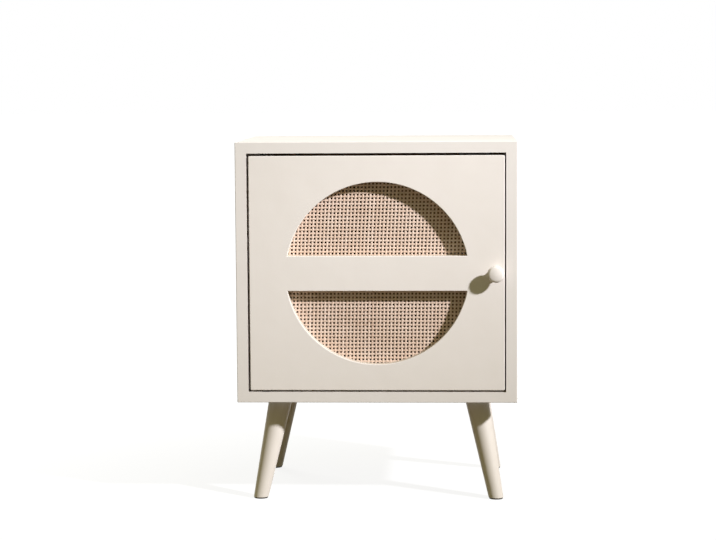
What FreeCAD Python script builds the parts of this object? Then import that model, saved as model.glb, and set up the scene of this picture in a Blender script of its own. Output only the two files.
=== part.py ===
"""Storage side table: a box cabinet with one pivot-hung door on four splayed round legs.

Millimetres. +X is to the right as seen from the front, the front faces -Y and +Z is up.
The origin lies on the floor, under the middle of the bounding box.
"""
import FreeCAD, Part
import math
import os
import Sketcher
from FreeCAD import Placement, Rotation, Vector

SIZES = [
    # cabinet
    ("carcass_width", 400.0, "outer width of the cabinet"),
    ("carcass_depth", 300.0, "outer depth of the cabinet"),
    ("carcass_height", 372.0, "height of the cabinet without its legs"),
    ("board", 16.0, "thickness of the painted boards"),
    ("bottom_board", 15.0, "thickness of the bottom panel"),
    ("edge_radius", 1.0, "rounding of the boards' outer edges"),
    ("back_thickness", 3.0, "thickness of the back panel"),
    ("back_setback", 8.0, "rear edge of the boards to the back panel"),
    ("groove_depth", 6.0, "depth of the back panel's groove"),
    ("groove_play", 0.1, "play on each side of the back panel in its groove"),
    # knock-down joints
    ("hole_play", 0.05, "radial play of a fastener in its hole"),
    ("cam_radius", 7.5, "radius of a cam lock"),
    ("cam_depth", 12.5, "depth of a cam lock"),
    ("cam_reach", 34.0, "board end to the centre of a cam lock"),
    ("cam_inset", 50.0, "front or rear edge to the nearest cam lock"),
    ("cam_slot_width", 1.6, "width of the screwdriver slot in a cam lock"),
    ("cam_slot_depth", 1.5, "depth of the screwdriver slot in a cam lock"),
    ("bolt_thread_radius", 2.5, "thread radius of a cam bolt"),
    ("bolt_thread_length", 11.0, "thread length of a cam bolt"),
    ("bolt_shaft_radius", 3.0, "shaft radius of a cam bolt"),
    ("bolt_head_radius", 3.5, "head radius of a cam bolt"),
    ("bolt_head_length", 4.0, "head length of a cam bolt"),
    ("bolt_bore_radius", 4.0, "radius of the cam bolt's bore in the side panel's end"),
    ("dowel_radius", 4.0, "radius of a dowel"),
    ("dowel_in_panel", 10.0, "dowel length in the top or bottom panel"),
    ("dowel_in_side", 20.0, "dowel length in the side panel"),
    ("dowel_offset", 32.0, "cam lock to the dowel beside it"),
    # shelf
    ("shelf_thickness", 16.0, "thickness of the shelf"),
    ("shelf_setback", 45.0, "cabinet front to the shelf's front edge"),
    ("shelf_side_play", 1.0, "shelf end to the side panel"),
    ("shelf_rear_play", 2.0, "shelf to the back panel"),
    ("pin_radius", 2.5, "radius of a shelf pin"),
    ("pin_in_side", 9.0, "shelf pin length in the side panel"),
    ("pin_reach", 9.0, "shelf pin length under the shelf"),
    ("pin_tab_width", 9.0, "width of a shelf pin's tab"),
    ("pin_tab_thickness", 2.0, "thickness of a shelf pin's tab"),
    ("pin_inset", 30.0, "shelf's front or rear edge to the shelf pin"),
    ("pin_row_pitch", 32.0, "pitch of the rows of shelf pin holes"),
    # legs
    ("leg_height", 144.0, "floor to the underside of the cabinet"),
    ("leg_top_inset", 58.0, "cabinet side to the leg axis at the cabinet's underside"),
    ("leg_foot_inset", 29.5, "cabinet side to the leg axis at the floor"),
    ("leg_top_radius", 16.75, "radius of a leg at its top"),
    ("leg_foot_radius", 10.4, "radius of a leg at the floor"),
    ("pad_radius", 9.9, "radius of a glide pad"),
    ("pad_thickness", 1.8, "thickness of a glide pad"),
    ("plate_width", 52.0, "width of a leg plate"),
    ("plate_thickness", 2.5, "thickness of a leg plate"),
    ("plate_hole_inset", 7.0, "edge of a leg plate to its screws"),
    ("plate_corner_radius", 5.0, "rounding of a leg plate's corners"),
    ("collar_radius", 6.0, "radius of the slanted collar on a leg plate"),
    ("collar_length", 4.0, "leg plate to the collar's end along the leg axis"),
    ("hanger_radius", 4.0, "radius of a hanger bolt"),
    ("hanger_in_leg", 30.0, "hanger bolt length in the leg"),
    ("hanger_above_plate", 5.0, "hanger bolt length above the leg plate"),
    ("hanger_bore_radius", 8.5, "radius of the bottom panel's bore over a hanger bolt"),
    ("plate_screw_radius", 2.0, "radius of a leg plate screw"),
    ("plate_screw_length", 12.0, "length of a leg plate screw in the bottom panel"),
    ("plate_screw_head_radius", 3.8, "head radius of a leg plate screw"),
    ("plate_screw_head_height", 2.2, "head height of a leg plate screw"),
    # door
    ("door_gap_hinge", 3.0, "gap beside the door's hinge edge"),
    ("door_gap_latch", 2.0, "gap beside the door's latch edge"),
    ("door_gap_top", 3.8, "gap above the door"),
    ("door_gap_bottom", 2.6, "gap below the door"),
    ("door_recess", 0.5, "cabinet front to the door front"),
    ("door_corner_radius", 2.0, "rounding of the door's corners"),
    ("cutout_shift", 1.0, "cabinet's middle to the cut-out circle's middle, toward the latch"),
    ("stile_width", 51.0, "least distance from the cut-out circle to the door's sides"),
    ("rail_width", 34.0, "least distance from the cut-out circle to the door's top and bottom"),
    ("crossbar_height", 50.0, "height of the crossbar across the circle"),
    ("webbing_thickness", 1.2, "thickness of the cane webbing"),
    ("webbing_overlap", 9.0, "webbing outside the cut-out circle"),
    ("webbing_play", 0.1, "play between the webbing and the retainer's rebate"),
    ("retainer_thickness", 4.0, "thickness of the webbing retainer"),
    ("retainer_land", 12.0, "width of the retainer outside the webbing"),
    ("retainer_setback", 1.0, "cut-out edge to the retainer's inner edge"),
    ("retainer_screw_inset", 5.5, "retainer's outer edge to its screws"),
    ("retainer_screw_count", 12, "number of retainer screws"),
    ("retainer_screw_radius", 1.5, "radius of a retainer screw"),
    ("retainer_screw_length", 9.0, "length of a retainer screw in the door"),
    ("retainer_screw_head_radius", 2.8, "head radius of a retainer screw"),
    ("retainer_screw_head_height", 1.5, "head height of a retainer screw"),
    # knob
    ("knob_edge_distance", 12.5, "knob axis to the door's latch edge"),
    ("knob_length", 20.5, "door front to the knob's front"),
    ("knob_head_radius", 11.8, "largest radius of the knob's head"),
    ("knob_base_radius", 10.5, "radius of the knob's base"),
    ("knob_base_lip", 1.2, "height of the straight lip at the knob's base"),
    ("knob_neck_curve", 11.0, "radius of the hollow between the knob's base and its head"),
    ("knob_head_height", 15.4, "door front to the knob head's largest radius"),
    ("knob_rim_radius", 4.1, "rounding of the knob head's rim"),
    ("knob_rim_angle", 76.0, "degrees of the rim's rounding before its flat dome"),
    ("knob_screw_radius", 2.0, "radius of the knob screw"),
    ("knob_screw_reach", 10.0, "knob screw length in the knob"),
    ("knob_screw_head_radius", 4.0, "head radius of the knob screw"),
    ("knob_screw_head_height", 2.4, "head height of the knob screw"),
    ("knob_washer_radius", 6.0, "radius of the knob washer"),
    ("knob_washer_thickness", 1.0, "thickness of the knob washer"),
    # pivot hinges
    ("hinge_inset", 23.0, "door's hinge edge to the hinge axis"),
    ("hinge_pin_radius", 3.0, "radius of a hinge pin"),
    ("hinge_pin_in_panel", 11.0, "hinge pin length in the top or bottom panel"),
    ("hinge_pin_in_door", 12.0, "hinge pin length in the door"),
    ("bush_radius", 4.5, "outer radius of a hinge bush"),
    ("bush_length", 13.0, "length of a hinge bush in the door"),
    ("bush_flange_radius", 7.0, "radius of a hinge bush's flange"),
    ("bush_flange", 1.0, "thickness of a hinge bush's flange"),
    # magnetic catch
    ("catch_edge_distance", 42.0, "door's latch edge to the middle of the catch"),
    ("catch_width", 28.0, "width of the catch housing"),
    ("catch_depth", 15.0, "depth of the catch housing"),
    ("catch_height", 14.0, "height of the catch housing"),
    ("catch_ear", 9.0, "length of each ear of the catch housing"),
    ("catch_ear_thickness", 3.0, "thickness of an ear"),
    ("catch_ear_depth", 11.0, "depth of an ear, front to rear"),
    ("catch_magnet_drop", 9.0, "top panel's underside to the middle of the magnet"),
    ("magnet_width", 22.0, "width of the magnet"),
    ("magnet_depth", 11.0, "depth of the magnet"),
    ("magnet_height", 5.0, "height of the magnet"),
    ("pole_thickness", 1.2, "thickness of a pole plate"),
    ("pole_stand", 1.2, "pole plate in front of the catch housing"),
    ("pole_gap", 0.3, "pole plate to the strike plate, door shut"),
    ("catch_wall", 2.0, "rear wall of the catch housing behind the magnet"),
    ("catch_play", 0.05, "play of the magnet and the pole plates in the housing"),
    ("small_screw_radius", 1.5, "radius of a catch or strike screw"),
    ("small_screw_length", 9.0, "length of a catch or strike screw in the board"),
    ("small_screw_head_radius", 2.8, "head radius of a catch or strike screw"),
    ("small_screw_head_height", 1.6, "head height of a catch or strike screw"),
    ("strike_width", 32.0, "width of the strike plate"),
    ("strike_height", 10.0, "height of the strike plate"),
    ("strike_thickness", 1.0, "thickness of the strike plate"),
]

# Where things are, as formulas over the sheet called Size.
SIDE = "(Size.carcass_width / 2)"
SIDE_INNER = f"({SIDE} - Size.board)"
FRONT = "((Size.knob_length - Size.door_recess - Size.carcass_depth) / 2)"
REAR = f"({FRONT} + Size.carcass_depth)"
UNDERSIDE = "Size.leg_height"
FLOOR_TOP = f"({UNDERSIDE} + Size.bottom_board)"
TOP = f"({UNDERSIDE} + Size.carcass_height)"
CEILING = f"({TOP} - Size.board)"
BACK_REAR = f"({REAR} - Size.back_setback)"
BACK_FRONT = f"({BACK_REAR} - Size.back_thickness)"

DOOR_FRONT = f"({FRONT} + Size.door_recess)"
DOOR_REAR = f"({DOOR_FRONT} + Size.board)"
HINGE_EDGE = f"({SIDE_INNER} - Size.door_gap_hinge)"
LATCH_EDGE = f"({SIDE_INNER} - Size.door_gap_latch)"
DOOR_BOTTOM = f"({FLOOR_TOP} + Size.door_gap_bottom)"
DOOR_TOP = f"({CEILING} - Size.door_gap_top)"
DOOR_MIDDLE = f"(({DOOR_BOTTOM} + {DOOR_TOP}) / 2)"
HINGE_X = f"(Size.hinge_inset - {HINGE_EDGE})"
HINGE_Y = f"({DOOR_FRONT} + Size.board / 2)"
KNOB_X = f"({LATCH_EDGE} - Size.knob_edge_distance)"
RETAINER_REAR = f"({DOOR_REAR} + Size.retainer_thickness)"
DOOR_HALF_HEIGHT = f"(({DOOR_TOP} - {DOOR_BOTTOM}) / 2)"
NEARER_EDGE = f"min({HINGE_EDGE} + Size.cutout_shift; {LATCH_EDGE} - Size.cutout_shift)"
CUTOUT_RADIUS = f"min({NEARER_EDGE} - Size.stile_width; {DOOR_HALF_HEIGHT} - Size.rail_width)"
WEBBING_RADIUS = f"({CUTOUT_RADIUS} + Size.webbing_overlap)"
RETAINER_INNER = f"({CUTOUT_RADIUS} + Size.retainer_setback)"
RETAINER_OUTER = f"({WEBBING_RADIUS} + Size.retainer_land)"
SCREW_CIRCLE = f"({RETAINER_OUTER} - Size.retainer_screw_inset)"
REBATE_DEPTH = "(Size.webbing_thickness + Size.webbing_play)"

SHELF_BOTTOM = f"({DOOR_MIDDLE} - Size.shelf_thickness / 2)"
SHELF_FRONT = f"({FRONT} + Size.shelf_setback)"
SHELF_REAR = f"({BACK_FRONT} - Size.shelf_rear_play)"
PIN_Z = f"({SHELF_BOTTOM} - Size.pin_radius)"

SPLAY = "(Size.leg_top_inset - Size.leg_foot_inset)"
TILT = f"atan(sqrt(2) * {SPLAY} / Size.leg_height)"
PLATE_UNDERSIDE = f"({UNDERSIDE} - Size.plate_thickness)"
LEG_TOP_REACH = f"({PLATE_UNDERSIDE} / cos({TILT}))"

CATCH_X = f"({LATCH_EDGE} - Size.catch_edge_distance)"
CATCH_Z = f"({CEILING} - Size.catch_magnet_drop)"
STRIKE_REAR = f"({DOOR_REAR} + Size.strike_thickness)"
POLE_FRONT = f"({STRIKE_REAR} + Size.pole_gap)"
CATCH_FRONT = f"({POLE_FRONT} + Size.pole_stand)"
CATCH_REAR = f"({CATCH_FRONT} + Size.catch_depth - Size.catch_wall)"

ALONG = {
    "+X": Rotation(Vector(0, 1, 0), 90),
    "-X": Rotation(Vector(0, 1, 0), -90),
    "+Y": Rotation(Vector(1, 0, 0), -90),
    "-Y": Rotation(Vector(1, 0, 0), 90),
    "+Z": Rotation(),
    "-Z": Rotation(Vector(1, 0, 0), 180),
}
SIDES = {"left": -1, "right": 1}
ENDS = {"front": -1, "rear": 1}
TOUCH = 0.001

doc = FreeCAD.newDocument("side_table")
sheet = doc.addObject("Spreadsheet::Sheet", "Size")
nodes = {}


def fill_sheet():
    """Write every driving size into the sheet, with its meaning beside it."""
    for row, (alias, number, meaning) in enumerate(SIZES, start=1):
        sheet.set(f"A{row}", meaning)
        sheet.set(f"B{row}", str(number))
        sheet.setAlias(f"B{row}", alias)
    doc.recompute()


def value(formula):
    """The number that a formula over the sheet has now."""
    number = sheet.evalExpression(formula)
    return float(getattr(number, "Value", number))


def move(item, x, y, z):
    """Bind the item's place to three formulas."""
    item.setExpression("Placement.Base.x", x)
    item.setExpression("Placement.Base.y", y)
    item.setExpression("Placement.Base.z", z)


def box(low, high):
    """A box between two corners."""
    item = doc.addObject("Part::Box", "Box")
    for side, start, end in zip(("Length", "Width", "Height"), low, high):
        item.setExpression(side, f"({end}) - ({start})")
    move(item, *low)
    return item


def cylinder(radius, length, start, along):
    """A cylinder from a point along one of the six directions."""
    item = doc.addObject("Part::Cylinder", "Cylinder")
    item.Placement = Placement(Vector(), ALONG[along])
    item.setExpression("Radius", radius)
    item.setExpression("Height", length)
    move(item, *start)
    return item


def fuse(shapes):
    """One solid from several that meet."""
    item = doc.addObject("Part::MultiFuse", "Fuse")
    item.Shapes = shapes
    item.Refine = True
    return item


def cut(base, tools):
    """The base without the tools."""
    item = doc.addObject("Part::Cut", "Cut")
    item.Base = base
    item.Tool = tools[0] if len(tools) == 1 else fuse(tools)
    return item


def common(base, tool):
    """What two solids share."""
    item = doc.addObject("Part::Common", "Common")
    item.Base = base
    item.Tool = tool
    return item


def group(solids):
    """Separate equal solids kept as one sub-part."""
    item = doc.addObject("Part::Compound", "Group")
    item.Links = solids
    return item


def box_edges(shape, faces):
    """Numbers of the edges where two of the named faces of the shape's box meet."""
    bounds = shape.BoundBox
    limits = {
        "-X": ("x", bounds.XMin), "+X": ("x", bounds.XMax),
        "-Y": ("y", bounds.YMin), "+Y": ("y", bounds.YMax),
        "-Z": ("z", bounds.ZMin), "+Z": ("z", bounds.ZMax),
    }
    found = []
    for number, edge in enumerate(shape.Edges, start=1):
        ends = [vertex.Point for vertex in edge.Vertexes]
        hits = 0
        for face in faces:
            axis, limit = limits[face]
            hits += all(abs(getattr(point, axis) - limit) < TOUCH for point in ends)
        if hits >= 2 and len(ends) == 2:
            found.append(number)
    return found


def rounded(base, faces, radius):
    """The base with the edges between the named faces of its box rounded."""
    doc.recompute()
    item = doc.addObject("Part::Fillet", "Rounded")
    item.Base = base
    size = value(radius)
    item.Edges = [(number, size, size) for number in box_edges(base.Shape, faces)]
    return item


def node(name, item):
    """Name a finished sub-part."""
    item.Label = name
    nodes[name] = item
    return item


def body(name, x, y, z, rotation=Rotation()):
    """A PartDesign body at a bound place."""
    item = doc.addObject("PartDesign::Body", name)
    item.Placement = Placement(Vector(), rotation)
    move(item, x, y, z)
    return item


def sketch_on(owner, plane, name):
    """A sketch on one of the body's own origin planes."""
    sketch = owner.newObject("Sketcher::SketchObject", name)
    support = [item for item in owner.Origin.OriginFeatures if item.Role == plane]
    sketch.AttachmentSupport = (support[0], "")
    sketch.MapMode = "FlatFace"
    return sketch


def bound(sketch, constraint, formula):
    """Add a dimension that a formula drives."""
    number = sketch.addConstraint(constraint)
    sketch.setExpression(f"Constraints[{number}]", formula)


def add_outline(sketch, corners, arcs=None):
    """A closed outline through corners given as formulas.

    arcs maps the number of a side to its radius and to the side's bulge: 1 to the left of
    its direction, -1 to the right.
    """
    arcs = arcs or {}
    points = [Vector(value(x), value(y), 0) for x, y in corners]
    sides = []
    for number, start in enumerate(points):
        end = points[(number + 1) % len(points)]
        if number in arcs:
            radius, bulge = arcs[number]
            sides.append(sketch.addGeometry(arc_through(start, end, value(radius), bulge)))
        else:
            sides.append(sketch.addGeometry(Part.LineSegment(start, end)))
    heads = []
    for number, side in enumerate(sides):
        turned = number in arcs and arcs[number][1] > 0
        heads.append((side, 2, 1) if turned else (side, 1, 2))
    for number, (side, head, tail) in enumerate(heads):
        following = heads[(number + 1) % len(heads)]
        sketch.addConstraint(Sketcher.Constraint("Coincident", side, tail, following[0], following[1]))
    for (side, head, tail), (x, y), point in zip(heads, corners, points):
        bound(sketch, Sketcher.Constraint("DistanceX", -1, 1, side, head, point.x), x)
        bound(sketch, Sketcher.Constraint("DistanceY", -1, 1, side, head, point.y), y)
    for number, (radius, bulge) in arcs.items():
        bound(sketch, Sketcher.Constraint("Radius", sides[number], value(radius)), radius)


def arc_through(start, end, radius, bulge):
    """The shorter arc from start to end, bulging to the left (1) or right (-1) of the way."""
    way = end - start
    left = Vector(-way.y, way.x, 0).normalize()
    drop = math.sqrt(max(radius ** 2 - (way.Length / 2) ** 2, 0))
    top = (start + end) / 2 + left * (bulge * (radius - drop))
    return Part.Arc(start, top, end)


def add_segment(sketch, radius, chord, upward):
    """The part of a circle above (1) or below (-1) a chord."""
    half = f"sqrt(({radius})^2 - ({chord})^2)"
    height = f"{upward} * ({chord})"
    add_outline(sketch, [(f"-{half}", height), (half, height)], {1: (radius, -upward)})


def add_circle(sketch, radius):
    """A circle about the sketch's origin."""
    circle = sketch.addGeometry(Part.Circle(Vector(), Vector(0, 0, 1), value(radius)))
    sketch.addConstraint(Sketcher.Constraint("Coincident", circle, 3, -1, 1))
    bound(sketch, Sketcher.Constraint("Radius", circle, value(radius)), radius)


def pad(owner, sketch, name, length, reversed_way=False):
    """Extrude a sketch."""
    feature = owner.newObject("PartDesign::Pad", name)
    feature.Profile = sketch
    feature.Reversed = reversed_way
    feature.setExpression("Length", length)
    doc.recompute()
    return feature


def pan_screw(sizes, length, start, along):
    """A pan-head screw whose head rests on the face at start. along is the way of its shank."""
    shank = cylinder(f"Size.{sizes}_radius", length, start, along)
    head = cylinder(f"Size.{sizes}_head_radius", f"Size.{sizes}_head_height", start, flipped(along))
    return fuse([shank, head])


def hole(fastener, length, start, along):
    """A drilling with the usual play round the named fastener."""
    return cylinder(f"Size.{fastener}_radius + Size.hole_play", length, start, along)


def flipped(along):
    """The opposite direction."""
    return ("-" if along[0] == "+" else "+") + along[1]


def outward(side):
    """The direction away from the cabinet's middle, on one side."""
    return "-X" if side < 0 else "+X"


def between(near, far, side):
    """Two distances from the cabinet's middle as low and high X, on one side."""
    low, high = (far, near) if side < 0 else (near, far)
    return f"{side} * ({low})", f"{side} * ({high})"


# Places that repeat.

def cam_rows():
    """Side, level and depth of each knock-down joint's cam and of the dowel beside it."""
    rows = []
    for side in SIDES.values():
        for level in ("bottom", "top"):
            for end in ENDS.values():
                cam_y = f"({FRONT if end < 0 else REAR} - {end} * Size.cam_inset)"
                dowel_y = f"({cam_y} - {end} * Size.dowel_offset)"
                rows.append((side, level, cam_y, dowel_y))
    return rows


def joint_face(level):
    """Height of the side panel's end, and the direction from it into the side panel."""
    return (FLOOR_TOP, "+Z") if level == "bottom" else (CEILING, "-Z")


def board_middle(side):
    """Middle of a side panel's thickness."""
    return f"{side} * ({SIDE} - Size.board / 2)"


def beyond(height, direction, distance):
    """A height moved by a distance in a vertical direction."""
    return f"({height} {direction[0]} ({distance}))"


def pin_columns():
    """Depths of the two columns of shelf pins."""
    return (f"({SHELF_FRONT} + Size.pin_inset)", f"({SHELF_REAR} - Size.pin_inset)")


def corners():
    """Name and signs of each corner of the cabinet."""
    return [(f"{end}_{side}", SIDES[side], ENDS[end]) for end in ENDS for side in SIDES]


def corner_point(side, end, inset):
    """The point at one inset from both outer faces of a corner."""
    edge = FRONT if end < 0 else REAR
    return f"({side} * ({SIDE} - {inset}))", f"({edge} - {end} * {inset})"


def along_leg(side, end, reach):
    """The point of a leg's axis at a distance from the floor."""
    x, y = corner_point(side, end, "Size.leg_foot_inset")
    share = f"({reach}) * sin({TILT}) / sqrt(2)"
    return f"{x} - {side} * {share}", f"{y} - {end} * {share}", f"({reach}) * cos({TILT})"


def tilted(kind, side, end, reach):
    """A Part primitive of the kind on a leg's axis, pointing up it, from a distance on."""
    item = doc.addObject(kind, "Tilted")
    item.Placement = Placement(Vector(), Rotation(Vector(end, -side, 0), 1))
    item.setExpression("Placement.Rotation.Angle", TILT)
    move(item, *along_leg(side, end, reach))
    return item


def tilted_cylinder(side, end, radius, reach, length):
    """A cylinder on a leg's axis."""
    item = tilted("Part::Cylinder", side, end, reach)
    item.setExpression("Radius", radius)
    item.setExpression("Height", length)
    return item


def plate_screw_points(side, end):
    """The four screw places of a leg plate."""
    x, y = corner_point(side, end, "Size.leg_top_inset")
    reach = "(Size.plate_width / 2 - Size.plate_hole_inset)"
    return [(f"{x} + {i} * {reach}", f"{y} + {j} * {reach}") for i in (-1, 1) for j in (-1, 1)]


def retainer_screw_points():
    """The places of the retainer's screws round the cut-out circle."""
    count = int(value("Size.retainer_screw_count"))
    points = []
    for number in range(count):
        angle = f"(360 * ({number} + 0.5) / {count})"
        x = f"Size.cutout_shift + {SCREW_CIRCLE} * cos({angle})"
        z = f"{DOOR_MIDDLE} + {SCREW_CIRCLE} * sin({angle})"
        points.append((x, z))
    return points


def catch_screw_places():
    """The places of the two screws in the catch housing's ears."""
    reach = "((Size.catch_width + Size.catch_ear) / 2)"
    y = f"({CATCH_FRONT} + Size.catch_ear_depth / 2)"
    return [(f"{CATCH_X} + {way} * {reach}", y) for way in (-1, 1)]


# Cabinet.

def panel_drillings(level):
    """What the top and the bottom panel both have: groove, cam bolt, dowel and hinge bores."""
    face, into_side = joint_face(level)
    into_panel = flipped(into_side)
    groove_end = beyond(face, into_panel, "Size.groove_depth")
    low, high = (groove_end, face) if into_panel == "-Z" else (face, groove_end)
    reach = f"({SIDE_INNER} + Size.groove_depth)"
    tools = [box((f"-{reach}", f"{BACK_FRONT} - Size.groove_play", low),
                 (reach, f"{BACK_REAR} + Size.groove_play", high))]
    for side, row_level, cam_y, dowel_y in cam_rows():
        if row_level == level:
            x = board_middle(side)
            tools.append(hole("bolt_thread", "Size.bolt_thread_length", (x, cam_y, face), into_panel))
            tools.append(hole("dowel", "Size.dowel_in_panel", (x, dowel_y, face), into_panel))
    tools.append(hole("hinge_pin", "Size.hinge_pin_in_panel", (HINGE_X, HINGE_Y, face), into_panel))
    return tools


def make_top_panel():
    blank = box((f"-{SIDE}", FRONT, CEILING), (SIDE, REAR, TOP))
    slab = rounded(blank, ("-X", "+X", "-Y", "+Y", "+Z"), "Size.edge_radius")
    tools = panel_drillings("top")
    for x, y in catch_screw_places():
        tools.append(hole("small_screw", "Size.small_screw_length", (x, y, CEILING), "+Z"))
    node("top_panel", cut(slab, tools))


def make_bottom_panel():
    blank = box((f"-{SIDE}", FRONT, UNDERSIDE), (SIDE, REAR, FLOOR_TOP))
    slab = rounded(blank, ("-X", "+X", "-Y", "+Y", "-Z"), "Size.edge_radius")
    tools = panel_drillings("bottom")
    for name, side, end in corners():
        x, y = corner_point(side, end, "Size.leg_top_inset")
        depth = "Size.hanger_above_plate + Size.hanger_radius / 2"
        tools.append(cylinder("Size.hanger_bore_radius", depth, (x, y, UNDERSIDE), "+Z"))
        for screw_x, screw_y in plate_screw_points(side, end):
            start = (screw_x, screw_y, UNDERSIDE)
            tools.append(hole("plate_screw", "Size.plate_screw_length", start, "+Z"))
    node("bottom_panel", cut(slab, tools))


def make_side_panel(name, side):
    inner = f"{side} * {SIDE_INNER}"
    low, high = between(SIDE_INNER, SIDE, side)
    blank = box((low, FRONT, FLOOR_TOP), (high, REAR, CEILING))
    slab = rounded(blank, (outward(side), "-Y", "+Y"), "Size.edge_radius")
    groove_low, groove_high = between(SIDE_INNER, f"{SIDE_INNER} + Size.groove_depth", side)
    tools = [box((groove_low, f"{BACK_FRONT} - Size.groove_play", FLOOR_TOP),
                 (groove_high, f"{BACK_REAR} + Size.groove_play", CEILING))]
    for row_side, level, cam_y, dowel_y in cam_rows():
        if row_side == side:
            face, inward = joint_face(level)
            cam_z = beyond(face, inward, "Size.cam_reach")
            tools.append(hole("cam", "Size.cam_depth", (inner, cam_y, cam_z), outward(side)))
            tools.append(cylinder("Size.bolt_bore_radius", "Size.cam_reach",
                                  (board_middle(side), cam_y, face), inward))
            tools.append(hole("dowel", "Size.dowel_in_side",
                              (board_middle(side), dowel_y, face), inward))
    for y in pin_columns():
        for row in (-1, 0, 1):
            z = f"{PIN_Z} + {row} * Size.pin_row_pitch"
            tools.append(hole("pin", "Size.pin_in_side", (inner, y, z), outward(side)))
    node(name, cut(slab, tools))


def make_back_panel():
    reach = f"({SIDE_INNER} + Size.groove_depth - Size.groove_play)"
    low_z = f"{FLOOR_TOP} - Size.groove_depth + Size.groove_play"
    high_z = f"{CEILING} + Size.groove_depth - Size.groove_play"
    node("back_panel", box((f"-{reach}", BACK_FRONT, low_z), (reach, BACK_REAR, high_z)))


def make_shelf():
    reach = f"({SIDE_INNER} - Size.shelf_side_play)"
    top = f"{SHELF_BOTTOM} + Size.shelf_thickness"
    blank = box((f"-{reach}", SHELF_FRONT, SHELF_BOTTOM), (reach, SHELF_REAR, top))
    node("shelf", rounded(blank, ("-Y", "+Z", "-Z"), "Size.edge_radius"))


def make_shelf_pins():
    pins = []
    for side in SIDES.values():
        inner = f"{side} * {SIDE_INNER}"
        low_x, high_x = between(f"{SIDE_INNER} - Size.pin_reach", SIDE_INNER, side)
        tab_bottom = f"{SHELF_BOTTOM} - Size.pin_tab_thickness"
        for y in pin_columns():
            stud = cylinder("Size.pin_radius", "Size.pin_in_side", (inner, y, PIN_Z), outward(side))
            stem = cylinder("Size.pin_radius", "Size.pin_reach", (inner, y, PIN_Z), flipped(outward(side)))
            tab = box((low_x, f"{y} - Size.pin_tab_width / 2", tab_bottom),
                      (high_x, f"{y} + Size.pin_tab_width / 2", SHELF_BOTTOM))
            pins.append(fuse([stud, stem, tab]))
    node("shelf_pins", group(pins))


def make_cam_locks():
    locks = []
    for side, level, cam_y, dowel_y in cam_rows():
        face, inward = joint_face(level)
        inner = f"{side} * {SIDE_INNER}"
        cam_z = beyond(face, inward, "Size.cam_reach")
        drum = cylinder("Size.cam_radius", "Size.cam_depth", (inner, cam_y, cam_z), outward(side))
        throat = hole("bolt_head", "Size.cam_radius + Size.bolt_head_length",
                      (board_middle(side), cam_y, beyond(cam_z, inward, "-Size.cam_radius")), inward)
        low_x, high_x = between(SIDE_INNER, f"{SIDE_INNER} + Size.cam_slot_depth", side)
        half = "Size.cam_slot_width / 2"
        reach = "Size.cam_radius * 2 / 3"
        level_slot = box((low_x, f"{cam_y} - {reach}", f"{cam_z} - {half}"),
                         (high_x, f"{cam_y} + {reach}", f"{cam_z} + {half}"))
        upright_slot = box((low_x, f"{cam_y} - {half}", f"{cam_z} - {reach}"),
                           (high_x, f"{cam_y} + {half}", f"{cam_z} + {reach}"))
        locks.append(cut(drum, [throat, level_slot, upright_slot]))
    node("cam_locks", group(locks))


def make_cam_bolts():
    bolts = []
    for side, level, cam_y, dowel_y in cam_rows():
        face, inward = joint_face(level)
        x = board_middle(side)
        head_start = beyond(face, inward, "Size.cam_reach - Size.bolt_head_length / 2")
        root = (x, cam_y, face)
        thread = cylinder("Size.bolt_thread_radius", "Size.bolt_thread_length", root, flipped(inward))
        shaft = cylinder("Size.bolt_shaft_radius", "Size.cam_reach", root, inward)
        head = cylinder("Size.bolt_head_radius", "Size.bolt_head_length", (x, cam_y, head_start), inward)
        bolts.append(fuse([thread, shaft, head]))
    node("cam_bolts", group(bolts))


def make_dowels():
    dowels = []
    for side, level, cam_y, dowel_y in cam_rows():
        face, inward = joint_face(level)
        start = beyond(face, inward, "-Size.dowel_in_panel")
        length = "Size.dowel_in_panel + Size.dowel_in_side"
        dowels.append(cylinder("Size.dowel_radius", length, (board_middle(side), dowel_y, start), inward))
    node("dowels", group(dowels))


# Legs.

def make_leg(name, side, end):
    """A turned leg, cut level at its top and at its foot."""
    taper = f"((Size.leg_top_radius - Size.leg_foot_radius) / {LEG_TOP_REACH})"
    blank = tilted("Part::Cone", side, end, "-Size.leg_foot_radius")
    blank.setExpression("Radius1", f"Size.leg_foot_radius * (1 - {taper})")
    blank.setExpression("Radius2", f"Size.leg_top_radius * (1 + {taper})")
    blank.setExpression("Height", f"Size.leg_foot_radius + {LEG_TOP_REACH} + Size.leg_top_radius")
    foot_x, foot_y = corner_point(side, end, "Size.leg_foot_inset")
    top_x, top_y = corner_point(side, end, "Size.leg_top_inset")
    reach = "2 * Size.leg_top_radius"
    below = box((f"{foot_x} - {reach}", f"{foot_y} - {reach}", f"-{reach}"),
                (f"{foot_x} + {reach}", f"{foot_y} + {reach}", "Size.pad_thickness"))
    above = box((f"{top_x} - {reach}", f"{top_y} - {reach}", PLATE_UNDERSIDE),
                (f"{top_x} + {reach}", f"{top_y} + {reach}", f"{PLATE_UNDERSIDE} + {reach}"))
    bore = tilted_cylinder(side, end, "Size.hanger_radius + Size.hole_play",
                           f"{LEG_TOP_REACH} - Size.hanger_in_leg",
                           "Size.hanger_in_leg + Size.leg_top_radius")
    node(name, cut(blank, [below, above, bore]))


def make_glide_pads():
    pads = []
    for name, side, end in corners():
        reach = f"Size.pad_thickness / cos({TILT})"
        x, y, z = along_leg(side, end, reach)
        pads.append(cylinder("Size.pad_radius", "Size.pad_thickness", (x, y, "0"), "+Z"))
    node("glide_pads", group(pads))


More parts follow.
